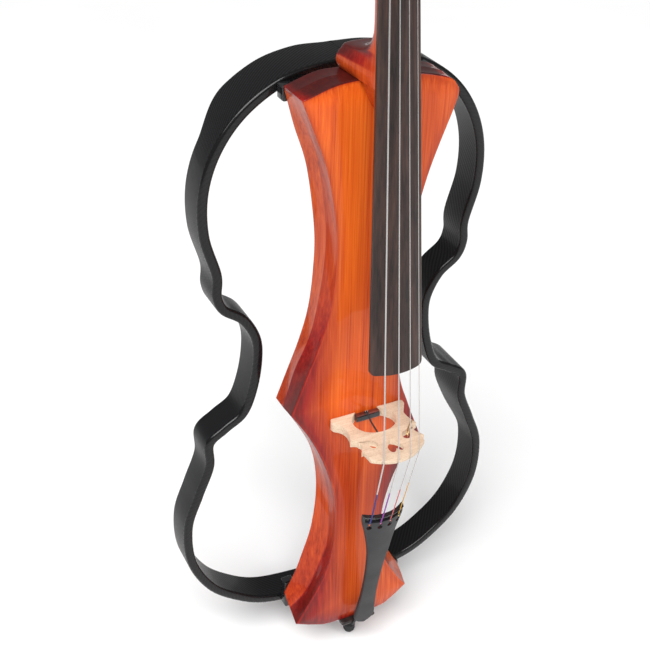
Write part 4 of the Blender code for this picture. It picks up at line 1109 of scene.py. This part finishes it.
def make_bridge():
    half = []
    for stretch in BRIDGE_SIDE:
        half += [tuple(point) for point in smooth_through(stretch, 7)[:-1]]
    crown = [(x / 2000, crown_edge(x / 2000)) for x in range(70, -71, -1)]
    arch = [tuple(point) for point in smooth_through(BRIDGE_ARCH, 7)[1:]]
    outline = half + crown + [(-x, h) for x, h in reversed(half)]
    outline += [(-x, h) for x, h in arch] + list(reversed(arch[:-1]))
    heart = [tuple(point) for point in smooth_through(BRIDGE_HEART, 5)]
    heart += [(-x, h) for x, h in reversed(heart[1:-1])]
    kidney = [tuple(point) for point in smooth_through(BRIDGE_KIDNEY + BRIDGE_KIDNEY[:1], 5)[:-1]]
    soft = 0.0003
    mesh = flat_plate([outline, heart, kidney, [(-x, h) for x, h in kidney]], soft)
    for vert in mesh.vertices:
        x, height, level = vert.co
        past = max(abs(level) - 0.5, -0.5 * (abs(level) < 0.4))
        z = BRIDGE_Z + math.copysign(bridge_thickness(height) / 2 - soft + past, level)
        vert.co = (x, min(FRONT_Y - height, FRONT_Y - 0.0001), z)
    edit(mesh, join_doubles, outward)
    mesh.materials.clear()
    stand_in("bridge", "bridge_maple", new_object("carved_bridge", mesh, MAPLE, 32))


def bridge_face(x, height):
    """Point on the bridge's upper face."""
    return Vector((x, FRONT_Y - height, BRIDGE_Z + bridge_thickness(height) / 2))


def make_pickup():
    """Bar between the bridge's feet with its plug and lead, and the two wires in the treble kidney."""
    bar = slab("pickup_bar_wood", rounded(0.0148, 0.0046, 0.001), FRONT_Y - 0.006, FRONT_Y - GAP, 0.0007,
               facing(0, BRIDGE_Z), BAR_WOOD)
    strip = slab("pickup_bar_strip", rounded(0.0146, 0.003, 0.001), FRONT_Y - 0.0072, FRONT_Y - 0.0058,
                 0.0005, facing(0, BRIDGE_Z), GLOSS_BLACK)
    plug = slab("pickup_plug", rounded(0.0022, 0.0016, 0.0005), BRIDGE_Z + 0.0048, BRIDGE_Z + 0.0072,
                0.0004, lambda u, v, h: (u - 0.002, FRONT_Y - 0.0052 + v, h), GLOSS_BLACK)
    stand_in("pickup_bar", "ebony", bar, strip, plug)
    for x in (-0.0032, -0.0008):
        pin = lathe("pickup_pin", mm([(0, 3), (0.4, 2.8), (0.5, 2), (0.5, 0), (0, 0)]),
                    (x, FRONT_Y - 0.0052, BRIDGE_Z + 0.0062), UP, CHROME, 12)
    route = [(x, FRONT_Y - out, BRIDGE_Z + up) for x, out, up in mm([
        (-2, 5.2, 6), (-2.4, 10, 6), (-3.4, 18, 3.4), (-4.4, 30, 2), (-4.8, 42.4, 0)])]
    lead = tube("pickup_wire", smooth_through(route, 8), 0.001, CORD_BLACK, 14)
    stand_in("pickup_lead", "cord", lead)
    for shift in (0.0, 0.0022):
        path = [bridge_face(x - shift, height + shift) + Vector((0, 0, above))
                for x, height, above in mm([(39.9, 38.5, -3), (39.2, 39.5, 0.6), (34.5, 42.5, 1.2),
                                            (28.5, 49, 1), (25.8, 53.5, -0.6), (25, 56, -4)])]
        wire = tube("pickup_gold_wire", smooth_through(path, 6), 0.00045, BRASS, 10)


make_bridge()
make_pickup()


# Tailpiece: recess under the strings' end, four keyholes, round lower end
TAILPIECE = mm([                # (distance from the strings' end, half width)
    (0, 26.5), (12, 26.2), (35, 20.5), (65, 15), (105, 11.3), (150, 10.3), (180, 11.8), (206.7, 13.8)])
TAIL_END_RADIUS = 0.0138
TAIL_TOP = Vector((0, -0.084, 0.225))
TAIL_END = Vector((0, -0.0405, 0.0115))
TAIL_SPAN = 0.216               # from TAIL_TOP to TAIL_END
TAIL_LENGTH = 0.2205
TAIL_ARCH = 0.0085
TAIL_THICKNESS = 0.006
TAIL_HOLE_AT = 0.02
KEYHOLE_RADIUS = 0.003
TAIL_SPREAD = 0.038             # between the outer keyholes
RECESS = (0.0024, 0.0104)       # start and end of the recess across the top


def tail_point(along):
    return TAIL_TOP.lerp(TAIL_END, along / TAIL_SPAN)


def tail_drop(share, along):
    return TAIL_ARCH * max(1.0 - along / 0.08, 0.12) * share ** 2


def tail_ring(along, half):
    middle = tail_point(along)
    thickness = TAIL_THICKNESS * (1 - 0.3 * ease((along - 0.2) / 0.012))
    inside = unit((along - RECESS[0]) / 0.0006) * unit((RECESS[1] - along) / 0.0012)
    soft = 0.0009
    ring = []
    for share in np.linspace(-1, 1, 25):
        edge = soft * max(abs(share) - 0.93, 0) / 0.07
        sunk = 0.0026 * inside * unit((0.93 - abs(share)) / 0.06)
        ring.append((share * half, middle.y + tail_drop(share, along) + edge + sunk, middle.z))
    for share in np.linspace(1, -1, 25):
        hollow = 0.0012 * (1 - share ** 4)
        edge = soft * max(abs(share) - 0.93, 0) / 0.07
        y = middle.y + tail_drop(share, along) + thickness - hollow - edge
        ring.append((share * half * 0.995, y, middle.z))
    return ring


def make_tailpiece():
    outline = smooth_through(TAILPIECE, 8)
    end = [(TAIL_LENGTH - TAIL_END_RADIUS * (1 - sine), TAIL_END_RADIUS * cosine)
           for cosine, sine in arc(12)[1:-1]]
    outline = np.concatenate([outline, end, [(TAIL_LENGTH - 0.00002, 0.0007)]])
    dense = [0.0004, 0.001, 0.0018, 0.0024, 0.0027, 0.003, 0.0046, 0.007, 0.0092, 0.0098, 0.0104, 0.011]
    sparse = [round(float(along), 5) for along, _half in outline if along > 0.0112 or along == 0]
    distances = sorted(set(sparse + dense))
    rings = [tail_ring(along, float(np.interp(along, outline[:, 0], outline[:, 1]))) for along in distances]
    piece = loft("curved_tailpiece", rings, [GREY, GLOSS_BLACK], 40)
    count = len(rings[0])
    dark_rows = sum(1 for along in distances if along < RECESS[1])
    for face in piece.data.polygons[:(len(rings) - 1) * count]:
        face.material_index = 1 if face.index // count < dark_rows and face.index % count < 24 else 0
    cutters = []
    hole = tail_point(TAIL_HOLE_AT)
    slot_half = 0.0009
    first = math.asin(slot_half / KEYHOLE_RADIUS)
    keyhole = [(KEYHOLE_RADIUS * cosine, KEYHOLE_RADIUS * sine)
               for cosine, sine in arc(24, 2 * math.pi - 2 * first, math.pi / 2 + first)]
    keyhole += [(slot_half, 0.0072), (0.0005, 0.0078), (-0.0005, 0.0078), (-slot_half, 0.0072)]
    for across, _radius in STRINGS.values():
        rings = [[(across * TAIL_SPREAD / 2 + u, y, hole.z + v) for u, v in keyhole]
                 for y in (hole.y - 0.01, hole.y + 0.02)]
        cutters.append(loft("keyhole_cutter", rings, GLOSS_BLACK))
    cut(piece, cutters, 40)
    # Painted shade: the keyholes' walls take the gloss black, standing in for the shadow inside the holes.
    for face in piece.data.polygons:
        x, _y, z = face.center
        beside = min(abs(x - across * TAIL_SPREAD / 2) for across, _radius in STRINGS.values())
        inside = beside < KEYHOLE_RADIUS * 1.02 and -KEYHOLE_RADIUS < z - hole.z < 0.008
        if inside and abs(face.normal.y) < 0.5:
            face.material_index = 1
    ridge = []
    place = tail_point(0.0014)
    for share in np.linspace(-0.965, 0.965, 49):
        x, y = share * 0.0265, place.y + tail_drop(share, 0.0014) - 0.0003
        ridge.append([(x, y + 0.001 * cosine, place.z + 0.0011 * sine) for cosine, sine in circle(12)])
    stand_in("tailpiece", "grey_composite", piece, loft("tailpiece_ridge", ridge, GLOSS_BLACK, 60))


make_tailpiece()


# Strings with coloured silk at both ends, and the balls in the keyholes
SILK_LENGTH = 0.05


def string_route(name):
    across, radius = STRINGS[name]
    hole = tail_point(TAIL_HOLE_AT)
    tail_x = across * TAIL_SPREAD / 2
    hole_y = hole.y + tail_drop(abs(tail_x) / 0.025, TAIL_HOLE_AT)
    edge_y = TAIL_TOP.y + tail_drop(abs(tail_x) / 0.0265, 0)
    lift = radius + 0.0008
    bridge_x = across * STRING_SPREAD / 2
    bridge_y = FRONT_Y - crown_height(bridge_x) - radius - GAP
    nut_y = NUT_STRING_Y + 0.0013 - radius - GAP
    axis = peg_axis(PEGS[name][1])
    nut_x = across * NUT_SPREAD / 2
    half = CROWN_THICKNESS / 2 + GAP
    return [(tail_x, hole_y + 0.0026, hole.z + 0.0058), (tail_x, hole_y - 0.0002, hole.z + 0.0064),
            (tail_x, edge_y - lift, TAIL_TOP.z + 0.001), (bridge_x, bridge_y, BRIDGE_Z - half),
            (bridge_x, bridge_y, BRIDGE_Z + half), (nut_x, nut_y, NUT_Z),
            (nut_x, nut_y + 0.0003, NUT_Z + 0.004), (PEGS[name][2], axis.y - 0.0062 - radius - GAP, axis.z)]


def soft_corners(points, reach=0.0012, steps=4):
    """The line with each inner corner turned into a short curve."""
    points = [Vector(point) for point in points]
    route = [points[0]]
    for before, corner, after in zip(points, points[1:], points[2:]):
        start = corner + (before - corner).normalized() * min(reach, (before - corner).length / 3)
        end = corner + (after - corner).normalized() * min(reach, (after - corner).length / 3)
        for step in range(steps + 1):
            t = step / steps
            route.append(start * (1 - t) ** 2 + corner * 2 * t * (1 - t) + end * t ** 2)
    return route + [points[-1]]


def stretch(route, start, end):
    """The part of a route between two distances along it."""
    points = []
    run = 0.0
    for first, second in zip(route, route[1:]):
        length = (second - first).length
        for edge in (start, end):
            if run <= edge < run + length:
                points.append(first.lerp(second, (edge - run) / length))
        run += length
        if start < run < end:
            points.append(second)
    return points


def make_string(name):
    radius = STRINGS[name][1]
    route = soft_corners(string_route(name))
    total = sum((b - a).length for a, b in zip(route, route[1:]))
    silk_end = TAIL_HOLE_AT - 0.004 + SILK_LENGTH
    parts = []
    for part, start, end, extra, material in (("string_line_", silk_end, total - 0.0306, 0.0, STRING_METAL),
                                              ("string_silk_", 0.0, silk_end, 0.00012, SILKS[name]),
                                              ("string_silk_peg_", total - 0.0308, total - 0.00001, 0.0001,
                                               SILKS[name])):
        parts.append(tube(part + name, stretch(route, start, end), radius + extra, material, 14))
    hole = Vector(string_route(name)[0])
    ball = lathe("string_ball_" + name, mm([(0.6, -1.2), (1.5, -1.2), (1.9, -0.7), (1.9, 0.7), (1.5, 1.2),
                                            (0.6, 1.2), (0.6, -1.2)]), hole + Vector((0, -0.002, 0.001)),
                 (1, 0, 0), BALLS[name], 28)
    stand_in("string_" + name, "steel", *parts, ball)


for name in STRINGS:
    make_string(name)


# Endpin with its socket, clamping screw and tip; saddle and tail cord
SOCKET_TOP = 0.001 - GAP
SOCKET_END = -0.019
ENDPIN_RADIUS = 0.005
CLAMP_Z = -0.0145
SADDLE_FRONT = -0.0262
SADDLE_HALF = 0.0235
CORD_RADIUS = 0.0013


def make_endpin():
    bore = ENDPIN_RADIUS + GAP
    socket = lathe("turned_socket", [(bore, SOCKET_TOP), (0.0119, SOCKET_TOP),
                                     (0.0125, SOCKET_TOP - 0.0007), (0.0125, -0.0028), (0.0118, -0.0037),
                                     (0.01, -0.0052), (0.0094, -0.006), (0.0094, -0.009), (0.0088, -0.0094),
                                     (0.0088, -0.0102), (0.0095, -0.0106), (0.0095, -0.018),
                                     (0.0088, SOCKET_END), (bore, SOCKET_END), (bore, SOCKET_TOP)],
                   (0, 0, 0), UP, GLOSS_BLACK, 64)
    screw_way = lathe("screw_way", mm([(0, 4), (2.1, 4), (2.1, 13), (0, 13)]), (0, 0, CLAMP_Z),
                      (-1, 0, 0), GLOSS_BLACK, 24)
    cut(socket, [screw_way], 40)
    stand_in("endpin_socket", "black_plastic", socket)
    top = 0.382
    rod = lathe("turned_rod", [(0, top), (0.0036, top), (ENDPIN_RADIUS, top - 0.0014), (ENDPIN_RADIUS, 0.3),
                               (0.0047, 0.2996), (0.0047, 0.298), (ENDPIN_RADIUS, 0.2976),
                               (ENDPIN_RADIUS, -0.0325), (0.0046, -0.0334), (0.004, -0.034),
                               (0.0025, -0.034), (0.0025, -0.038), (0, -0.038)], (0, 0, 0), UP, CHROME,
                body="endpin")
    stand_in("endpin_rod", "steel", rod)
    profile = mm([(0, -38.4), (2.8, -38.4), (2.8, -34.3), (6.4, -34.3), (7.4, -34.8), (7.8, -35.8)])
    for ring in range(3):
        z = -0.0366 - 0.0016 * ring
        profile += [(0.0077 - 0.0001 * ring, z), (0.0071, z - 0.0003), (0.0071, z - 0.0007),
                    (0.0077, z - 0.001)]
    profile += mm([(7.3, -42.5), (6.2, -44.7), (4.4, -46.3), (2, -46.9), (0, -47)])
    tip = lathe("ribbed_tip", profile, (0, 0, 0), UP, RUBBER, body="endpin")
    stand_in("endpin_tip", "rubber", tip)

    def knurls(angle, height):
        return 0.95 if 0.0146 < height < 0.0195 and math.cos(24 * angle) < 0 else 1.0

    profile = mm([(0, 20.5), (3.8, 20.5), (5, 19.8), (5.7, 19), (5.7, 14.7), (5, 13.9), (4, 13.5),
                  (1.8, 13.5), (1.8, 5.6), (0, 5.6)])
    screw = lathe("knurled_screw", profile, (0, 0, CLAMP_Z), (-1, 0, 0), STEEL, 96, knurls, "endpin_screw")
    stand_in("endpin_screw", "steel", screw)


def make_saddle_and_cord():
    rings = []
    for x in np.linspace(-SADDLE_HALF, SADDLE_HALF, 25):
        end = 0.0008 * (max(abs(x) - SADDLE_HALF + 0.002, 0) / 0.002) ** 2
        section = [(-0.0132, -0.005 + end), (SADDLE_FRONT + 0.002 + end, -0.005 + end),
                   (SADDLE_FRONT + 0.0006 + end, -0.0043 + end), (SADDLE_FRONT + end, -0.0028),
                   (SADDLE_FRONT + end, -0.0014), (SADDLE_FRONT + 0.0008 + end, SOCKET_TOP - 0.0003 - end),
                   (SADDLE_FRONT + 0.0018 + end, SOCKET_TOP - end), (-0.0132, SOCKET_TOP - end)]
        rings.append([(x, y, z) for y, z in section])
    saddle = loft("rounded_saddle", rings, EBONY, 45)
    stand_in("saddle", "ebony", saddle)
    end = tail_point(0.2075)
    start_y = end.y + TAIL_THICKNESS + CORD_RADIUS + 2 * GAP
    loop = 0.0095 + CORD_RADIUS + GAP
    side = [(0.005, start_y, end.z), (0.0062, start_y + 0.002, 0.008),
            (0.0078, SADDLE_FRONT - CORD_RADIUS - GAP, -0.002),
            (0.0086, SADDLE_FRONT - 0.0004, -0.005 - CORD_RADIUS - 0.0008), (loop, -0.011, -0.0075)]
    around = [(loop * cosine, loop * sine, -0.0075) for cosine, sine in arc(16, math.pi)]
    route = soft_corners(side + around + [(-x, y, z) for x, y, z in reversed(side)], 0.0016, 3)
    cord = tube("tail_loop", route, CORD_RADIUS, CORD_BLACK, 16)
    stand_in("tail_cord", "cord", cord)


make_endpin()
make_saddle_and_cord()


# Frame clamps and every small screw
CLAMPS = {"upper_bass": (-1, 0.715, 0.008), "upper_treble": (1, 0.715, 0.008),
          "lower_bass": (-1, 0.032, 0.02), "lower_treble": (1, 0.02, 0.008)}


def cross_screw(name, node, place, head_radius, shank, length, dome):
    """Domed head with a cross recess; it points along +Y."""
    profile = [(0, dome), (head_radius * 0.45, dome * 0.97), (head_radius * 0.8, dome * 0.7),
               (head_radius, dome * 0.2), (head_radius, 0), (shank, 0), (shank, -length), (0, -length)]
    screw = lathe(name, profile, place, OUT, STEEL, 40)
    wide = head_radius * 0.62
    thin = head_radius * 0.13
    cutters = []
    for across, up in ((wide, thin), (thin, wide)):
        outline = rounded(across, up, thin * 0.5, 2)
        rings = [[(place[0] + u, place[1] + h, place[2] + v) for u, v in outline]
                 for h in (dome * 0.25, dome + 0.002)]
        cutters.append(loft("recess", rings, STEEL))
    cut(screw, cutters)
    stand_in(node, "steel", screw)


def make_clamps():
    low_y = BACK_Y + GAP
    for label, (side, height, half) in CLAMPS.items():
        foot = slab("clamp_foot_" + label, rounded(0.01675, half, 0.0025), low_y, low_y + 0.004, 0.0006,
                    facing(side * 0.06675, height), GLOSS_BLACK)
        block = slab("clamp_block_" + label, rounded(0.00725, half, 0.002), low_y + 0.001,
                     FRAME_FRONT_Y - GAP, 0.0009, facing(side * 0.07625, height), GLOSS_BLACK)
        stand_in("frame_clamp_" + label, "black_plastic", foot, block)
        cross_screw("cross_screw_" + label, "clamp_screw_" + label,
                    (side * 0.059, low_y + 0.004 + GAP, height), 0.004, 0.002, 0.014, 0.0028)


make_clamps()


# Controls on the back
PLATE_HALF = 0.04
PLATE_LOW = 0.258
PLATE_HIGH = 0.345
PLATE_OUTER_Y = BACK_Y + GAP + 0.0025
KNOB_Z = 0.322
KNOBS = {"volume": -0.022, "tone": 0.006}
SWITCH_X = 0.028
SWITCH_PIVOT_Y = 0.0195
PHONES_AT = (0.012, 0.282)
PLATE_SCREW_INSET = 0.0045


def make_plate():
    middle = (PLATE_LOW + PLATE_HIGH) / 2
    plate = slab("contoured_plate", rounded(PLATE_HALF, (PLATE_HIGH - PLATE_LOW) / 2, 0.005, 8),
                 BACK_Y + GAP, PLATE_OUTER_Y, 0.0007, facing(0, middle), BLACK)
    holes = [(x, KNOB_Z, 0.0036) for x in KNOBS.values()]
    holes += [(SWITCH_X, KNOB_Z, 0.003), (*PHONES_AT, 0.0042)]
    cut(plate, [drill((x, BACK_Y, z), OUT, radius, 0.01, BLACK) for x, z, radius in holes])
    stand_in("control_plate", "black_plastic", plate)
    places = [(x, z) for x in (-PLATE_HALF + PLATE_SCREW_INSET, PLATE_HALF - PLATE_SCREW_INSET)
              for z in (PLATE_LOW + PLATE_SCREW_INSET, PLATE_HIGH - PLATE_SCREW_INSET)]
    for index, (x, z) in enumerate(places, 1):
        cross_screw("cross_screw_plate_%d" % index, "plate_screw_%d" % index, (x, PLATE_OUTER_Y + GAP, z),
                    0.003, 0.0016, 0.011, 0.0018)
    for name, x in KNOBS.items():
        for step in range(11):
            angle = math.radians(-150 + 30 * step)
            long = 0.0022 if step in (0, 5, 10) else 0.0014
            direction = Vector((math.sin(angle), 0, math.cos(angle)))
            across = Vector((math.cos(angle), 0, -math.sin(angle)))
            start = Vector((x, PLATE_OUTER_Y, KNOB_Z)) + direction * 0.0112

            def place(u, v, h):
                return start + across * u + direction * (v + long / 2) + Vector((0, h, 0))

            mark = slab("dial_mark_%s_%d" % (name, step), rounded(0.00028, long / 2, 0.0002, 2), -0.0002,
                        0.00012, 0.00004, place, WHITE_MARK)


def make_knob(name, x):
    base = PLATE_OUTER_Y + 0.0004
    profile = mm([(0, 11.9), (5.2, 11.9), (6, 12.3), (7, 12.5), (7.6, 12), (8, 11.3), (8.4, 6), (8.7, 2.6),
                  (9, 1.8), (9, 0.3), (8.7, 0), (3.2, 0), (3, -0.2)])
    profile += [(0.003, 0.012 - base), (0, 0.012 - base)]

    def ribs(angle, height):
        ribbed = 0.003 < height < 0.0118
        return 1 - 0.035 * (0.5 - 0.5 * math.cos(30 * angle)) * ribbed

    knob = lathe("ribbed_%s_knob" % name, profile, (x, base, KNOB_Z), OUT, BLACK, 180, ribs, name + "_knob")
    stand_in(name + "_knob", "black_plastic", knob)
    pointer = slab("%s_pointer" % name, rounded(0.00045, 0.003, 0.0003, 3), base + 0.011, base + 0.0126,
                   0.0002, facing(x, KNOB_Z + 0.0042), WHITE_MARK, name + "_knob")


def make_switch_and_jacks():
    body = slab("switch_housing", rounded(0.0045, 0.0065, 0.0006), 0.011, SWITCH_PIVOT_Y - 0.0015, 0.0004,
                facing(SWITCH_X, KNOB_Z), BLACK)
    stand_in("switch_body", "black_plastic", body)
    lever = lathe("bat_lever", mm([(0, 15), (0.8, 14.9), (1.5, 14.4), (1.8, 13.6), (1.7, 12), (1.3, 8),
                                   (1.1, 4.5), (1.1, -0.2), (0.8, -0.5), (0, -0.5)]),
                  (SWITCH_X, SWITCH_PIVOT_Y, KNOB_Z), OUT, CHROME, 32, body="mode_switch")
    stand_in("mode_switch", "steel", lever)
    x, z = PHONES_AT
    deep = 0.0105 - PLATE_OUTER_Y
    profile = mm([(1.8, 1.6), (3.4, 1.6), (3.7, 1.1), (4, 1.1), (4.2, 1.5), (5.2, 1.5), (5.5, 1.2)])
    profile += [(0.0055, GAP), (0.0038, GAP), (0.0038, deep), (0, deep), (0, deep + 0.0015),
                (0.0018, deep + 0.0015), profile[0]]
    phones = lathe("phones_socket", profile, (x, PLATE_OUTER_Y, z), OUT, CHROME, 96,
                   lambda angle, height: 0.97 if height > 0 and math.cos(20 * angle) < -0.2 else 1)
    stand_in("headphone_jack", "steel", phones)
    top = 0.034 + 0.002
    line = lathe("line_socket", [
        (0, top), (0.0058, top), (0.0058, SOCKET_TOP), (0.008, SOCKET_TOP), (0.0085, SOCKET_TOP - 0.0004),
        (0.0085, -0.001), (0.0078, -0.0015), (0.0078, -0.0018), (0.0066, -0.0024), (0.005, -0.0025),
        (0.0046, -0.0019), (0.004, -0.0019), (0.0036, -0.0025), (0.0033, -0.0023), (0.0033, top - 0.002),
        (0, top - 0.002)], (-0.0225, 0.003, 0), UP, CHROME, 64)
    stand_in("output_jack", "steel", line)


def make_preamp():
    board = slab("etched_board", rounded(0.031, 0.0335, 0.0008), 0.0079, 0.0095, 0.0002,
                 facing(0, 0.3015), BOARD_GREEN)
    stand_in("preamp_board", "circuit_board", board)
    chips = {"amplifier_chip": (-0.018, 0.3, 0.0045, 0.0035), "tone_chip": (-0.004, 0.298, 0.0035, 0.003),
             "header": (-0.02, 0.275, 0.006, 0.0022)}
    for name, (x, z, half_x, half_z) in chips.items():
        chip = slab(name, rounded(half_x, half_z, 0.0004), 0.0096, 0.0116, 0.0002, facing(x, z), BLACK)
    for name, x, z in (("coupling_capacitor", -0.008, 0.283), ("supply_capacitor", 0.024, 0.296)):
        can = lathe(name, mm([(0, 15), (2, 15), (2.4, 14.6), (2.4, 10.8), (2.2, 10.4), (2.4, 10),
                              (2.4, 9.6), (0, 9.6)]), (x, 0, z), OUT, STEEL, 32)


make_plate()
for name, x in KNOBS.items():
    make_knob(name, x)
make_switch_and_jacks()
make_preamp()


# Battery bay: bezel, ribbed door on its pin
DOOR_HALF = 0.02
HINGE_Z = 0.6668
HINGE_Y = BACK_Y + 0.0025


def make_battery_bay():
    low, high = 0.584, 0.6725
    bezel = slab("bay_bezel", rounded(0.026, (high - low) / 2, 0.004, 6), BACK_Y + GAP, BACK_Y + 0.0026,
                 0.0006, facing(0, (low + high) / 2), BLACK)
    outline = rounded(DOOR_HALF + 0.0006, 0.0405, 0.0012, 3)
    window = loft("bay_window", [[(u, y, 0.629 + v) for u, v in outline] for y in (0.0, 0.05)], BLACK)
    pieces = [cut(bezel, [window])]
    for side in (-1, 1):
        middle = side * (DOOR_HALF + 0.0018)
        lug = slab("hinge_lug", rounded(0.002, 0.0022, 0.0012, 5), -0.0012, 0.0012, 0.0003,
                   lambda u, v, h: (middle + h, HINGE_Y + u, HINGE_Z + v), BLACK)
        pieces.append(lug)
    stand_in("battery_bezel", "black_plastic", *pieces)
    door_low, door_high = 0.589, HINGE_Z - 0.0005
    door = slab("bay_door", rounded(DOOR_HALF, (door_high - door_low) / 2, 0.0012, 4), BACK_Y + GAP,
                BACK_Y + 0.0024, 0.0004, facing(0, (door_low + door_high) / 2), BLACK, "battery_door")
    tab = slab("door_pull", rounded(0.006, 0.0015, 0.0007, 4), BACK_Y + 0.001, BACK_Y + 0.0042, 0.0005,
               facing(0, 0.591), BLACK, "battery_door")
    knuckle = lathe("door_barrel", [(0.0011, -DOOR_HALF), (0.0018, -DOOR_HALF),
                                    (0.002, -DOOR_HALF + 0.0003), (0.002, DOOR_HALF - 0.0003),
                                    (0.0018, DOOR_HALF), (0.0011, DOOR_HALF), (0.0011, -DOOR_HALF)],
                    (0, HINGE_Y, HINGE_Z), (1, 0, 0), BLACK, 32, body="battery_door")
    ribs = [slab("door_rib_%d" % step, rounded(0.013, 0.0005, 0.0004, 3), BACK_Y + 0.0022, BACK_Y + 0.003,
                 0.0002, facing(0, 0.598 + 0.0022 * step), BLACK, "battery_door") for step in range(6)]
    stand_in("battery_door", "black_plastic", door, tab, knuckle, *ribs)
    pin = lathe("domed_pin", mm([(0, 23.1), (0.5, 23), (0.8, 22.6), (0.8, -22.6), (0.5, -23), (0, -23.1)]),
                (0, HINGE_Y, HINGE_Z), (1, 0, 0), STEEL, 20)
    stand_in("hinge_pin", "steel", pin)


make_battery_bay()


# Carried-over nodes: procedural materials by name
NODE_LOOKS = {
    "frame_splice": (GREY, "grey_composite"),
    "volume_pot": (STEEL, "steel"),
    "tone_pot": (STEEL, "steel"),
    "battery_tray": (BLACK, "black_plastic"),
    "battery": (STEEL, "steel"),
}


def dress_nodes():
    for name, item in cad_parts.items():
        if item.hide_render:
            continue
        keys = [key for key in NODE_LOOKS if name == key or name.startswith(key + "_")]
        material, slot = NODE_LOOKS[max(keys, key=len)]
        item.data.materials.clear()
        item.data.materials.append(material)


dress_nodes()


# Stage, lights and camera
def floor_material():
    look = Recipe("studio_floor", roughness=0.9, specular=0.1)
    grain = look.noise(3.0, detail=2)
    look.colour(look.ramp(grain, (0.3, 0.95), (0.7, 0.975)))
    return look.material


def make_stage():
    mesh = bpy.data.meshes.new("studio_floor")
    reach = 6.0
    mesh.from_pydata([(-reach, -reach, 0), (reach, -reach, 0), (reach, reach, 0), (-reach, reach, 0)], [],
                     [(0, 1, 2, 3)])
    floor = bpy.data.objects.new("studio_floor", mesh)
    floor.location = (0, 0, CAD_BOX[0][2] - 0.004)
    scene.collection.objects.link(floor)
    mesh.materials.append(floor_material())
    world = bpy.data.worlds.new("studio")
    scene.world = world
    world.use_nodes = True
    background = world.node_tree.nodes["Background"]
    background.inputs["Color"].default_value = (1.0, 1.0, 1.0, 1.0)
    background.inputs["Strength"].default_value = 0.24


def area_light(name, location, target, size, power):
    data = bpy.data.lights.new(name, "AREA")
    data.shape = "RECTANGLE"
    data.size, data.size_y = size
    data.energy = power
    light = bpy.data.objects.new(name, data)
    light.location = location
    light.rotation_euler = (Vector(target) - Vector(location)).to_track_quat("-Z", "Y").to_euler()
    scene.collection.objects.link(light)


def wide_sun(towards, angle, strength):
    data = bpy.data.lights.new("wide_sun", "SUN")
    data.angle = math.radians(angle)
    data.energy = strength
    light = bpy.data.objects.new("wide_sun", data)
    light.rotation_euler = Vector(towards).to_track_quat("Z", "Y").to_euler()
    scene.collection.objects.link(light)


CAMERA_AT = Vector((-0.5208, -0.9631, 1.1369))
CAMERA_YAW = 26.358             # degrees from +Y towards +X
CAMERA_PITCH = 32.581           # degrees down
CAMERA_ROLL = 1.014
CAMERA_LENS = 64.34


def make_camera():
    yaw, pitch, roll = (math.radians(angle) for angle in (CAMERA_YAW, CAMERA_PITCH, CAMERA_ROLL))
    forward = Vector((math.sin(yaw) * math.cos(pitch), math.cos(yaw) * math.cos(pitch), -math.sin(pitch)))
    level = Vector((math.cos(yaw), -math.sin(yaw), 0))
    above = level.cross(forward)
    right = level * math.cos(roll) + above * math.sin(roll)
    up = above * math.cos(roll) - level * math.sin(roll)
    data = bpy.data.cameras.new("camera")
    data.lens = CAMERA_LENS
    data.sensor_width = 36.0
    camera = bpy.data.objects.new("camera", data)
    turn = Matrix((right, up, -forward)).transposed()
    camera.matrix_world = Matrix.Translation(CAMERA_AT) @ turn.to_4x4()
    scene.collection.objects.link(camera)
    scene.camera = camera


make_stage()
wide_sun((-0.36, -0.5, 0.79), 38, 2.95)
area_light("left_softbox", (-1.7, -0.5, 2.5), (0, 0, 0.45), (0.7, 1.6), 21)
area_light("front_softbox", (1.5, -2.2, 1.7), (0, 0, 0.45), (0.8, 1.8), 24)
scene.view_settings.view_transform = "Standard"
make_camera()
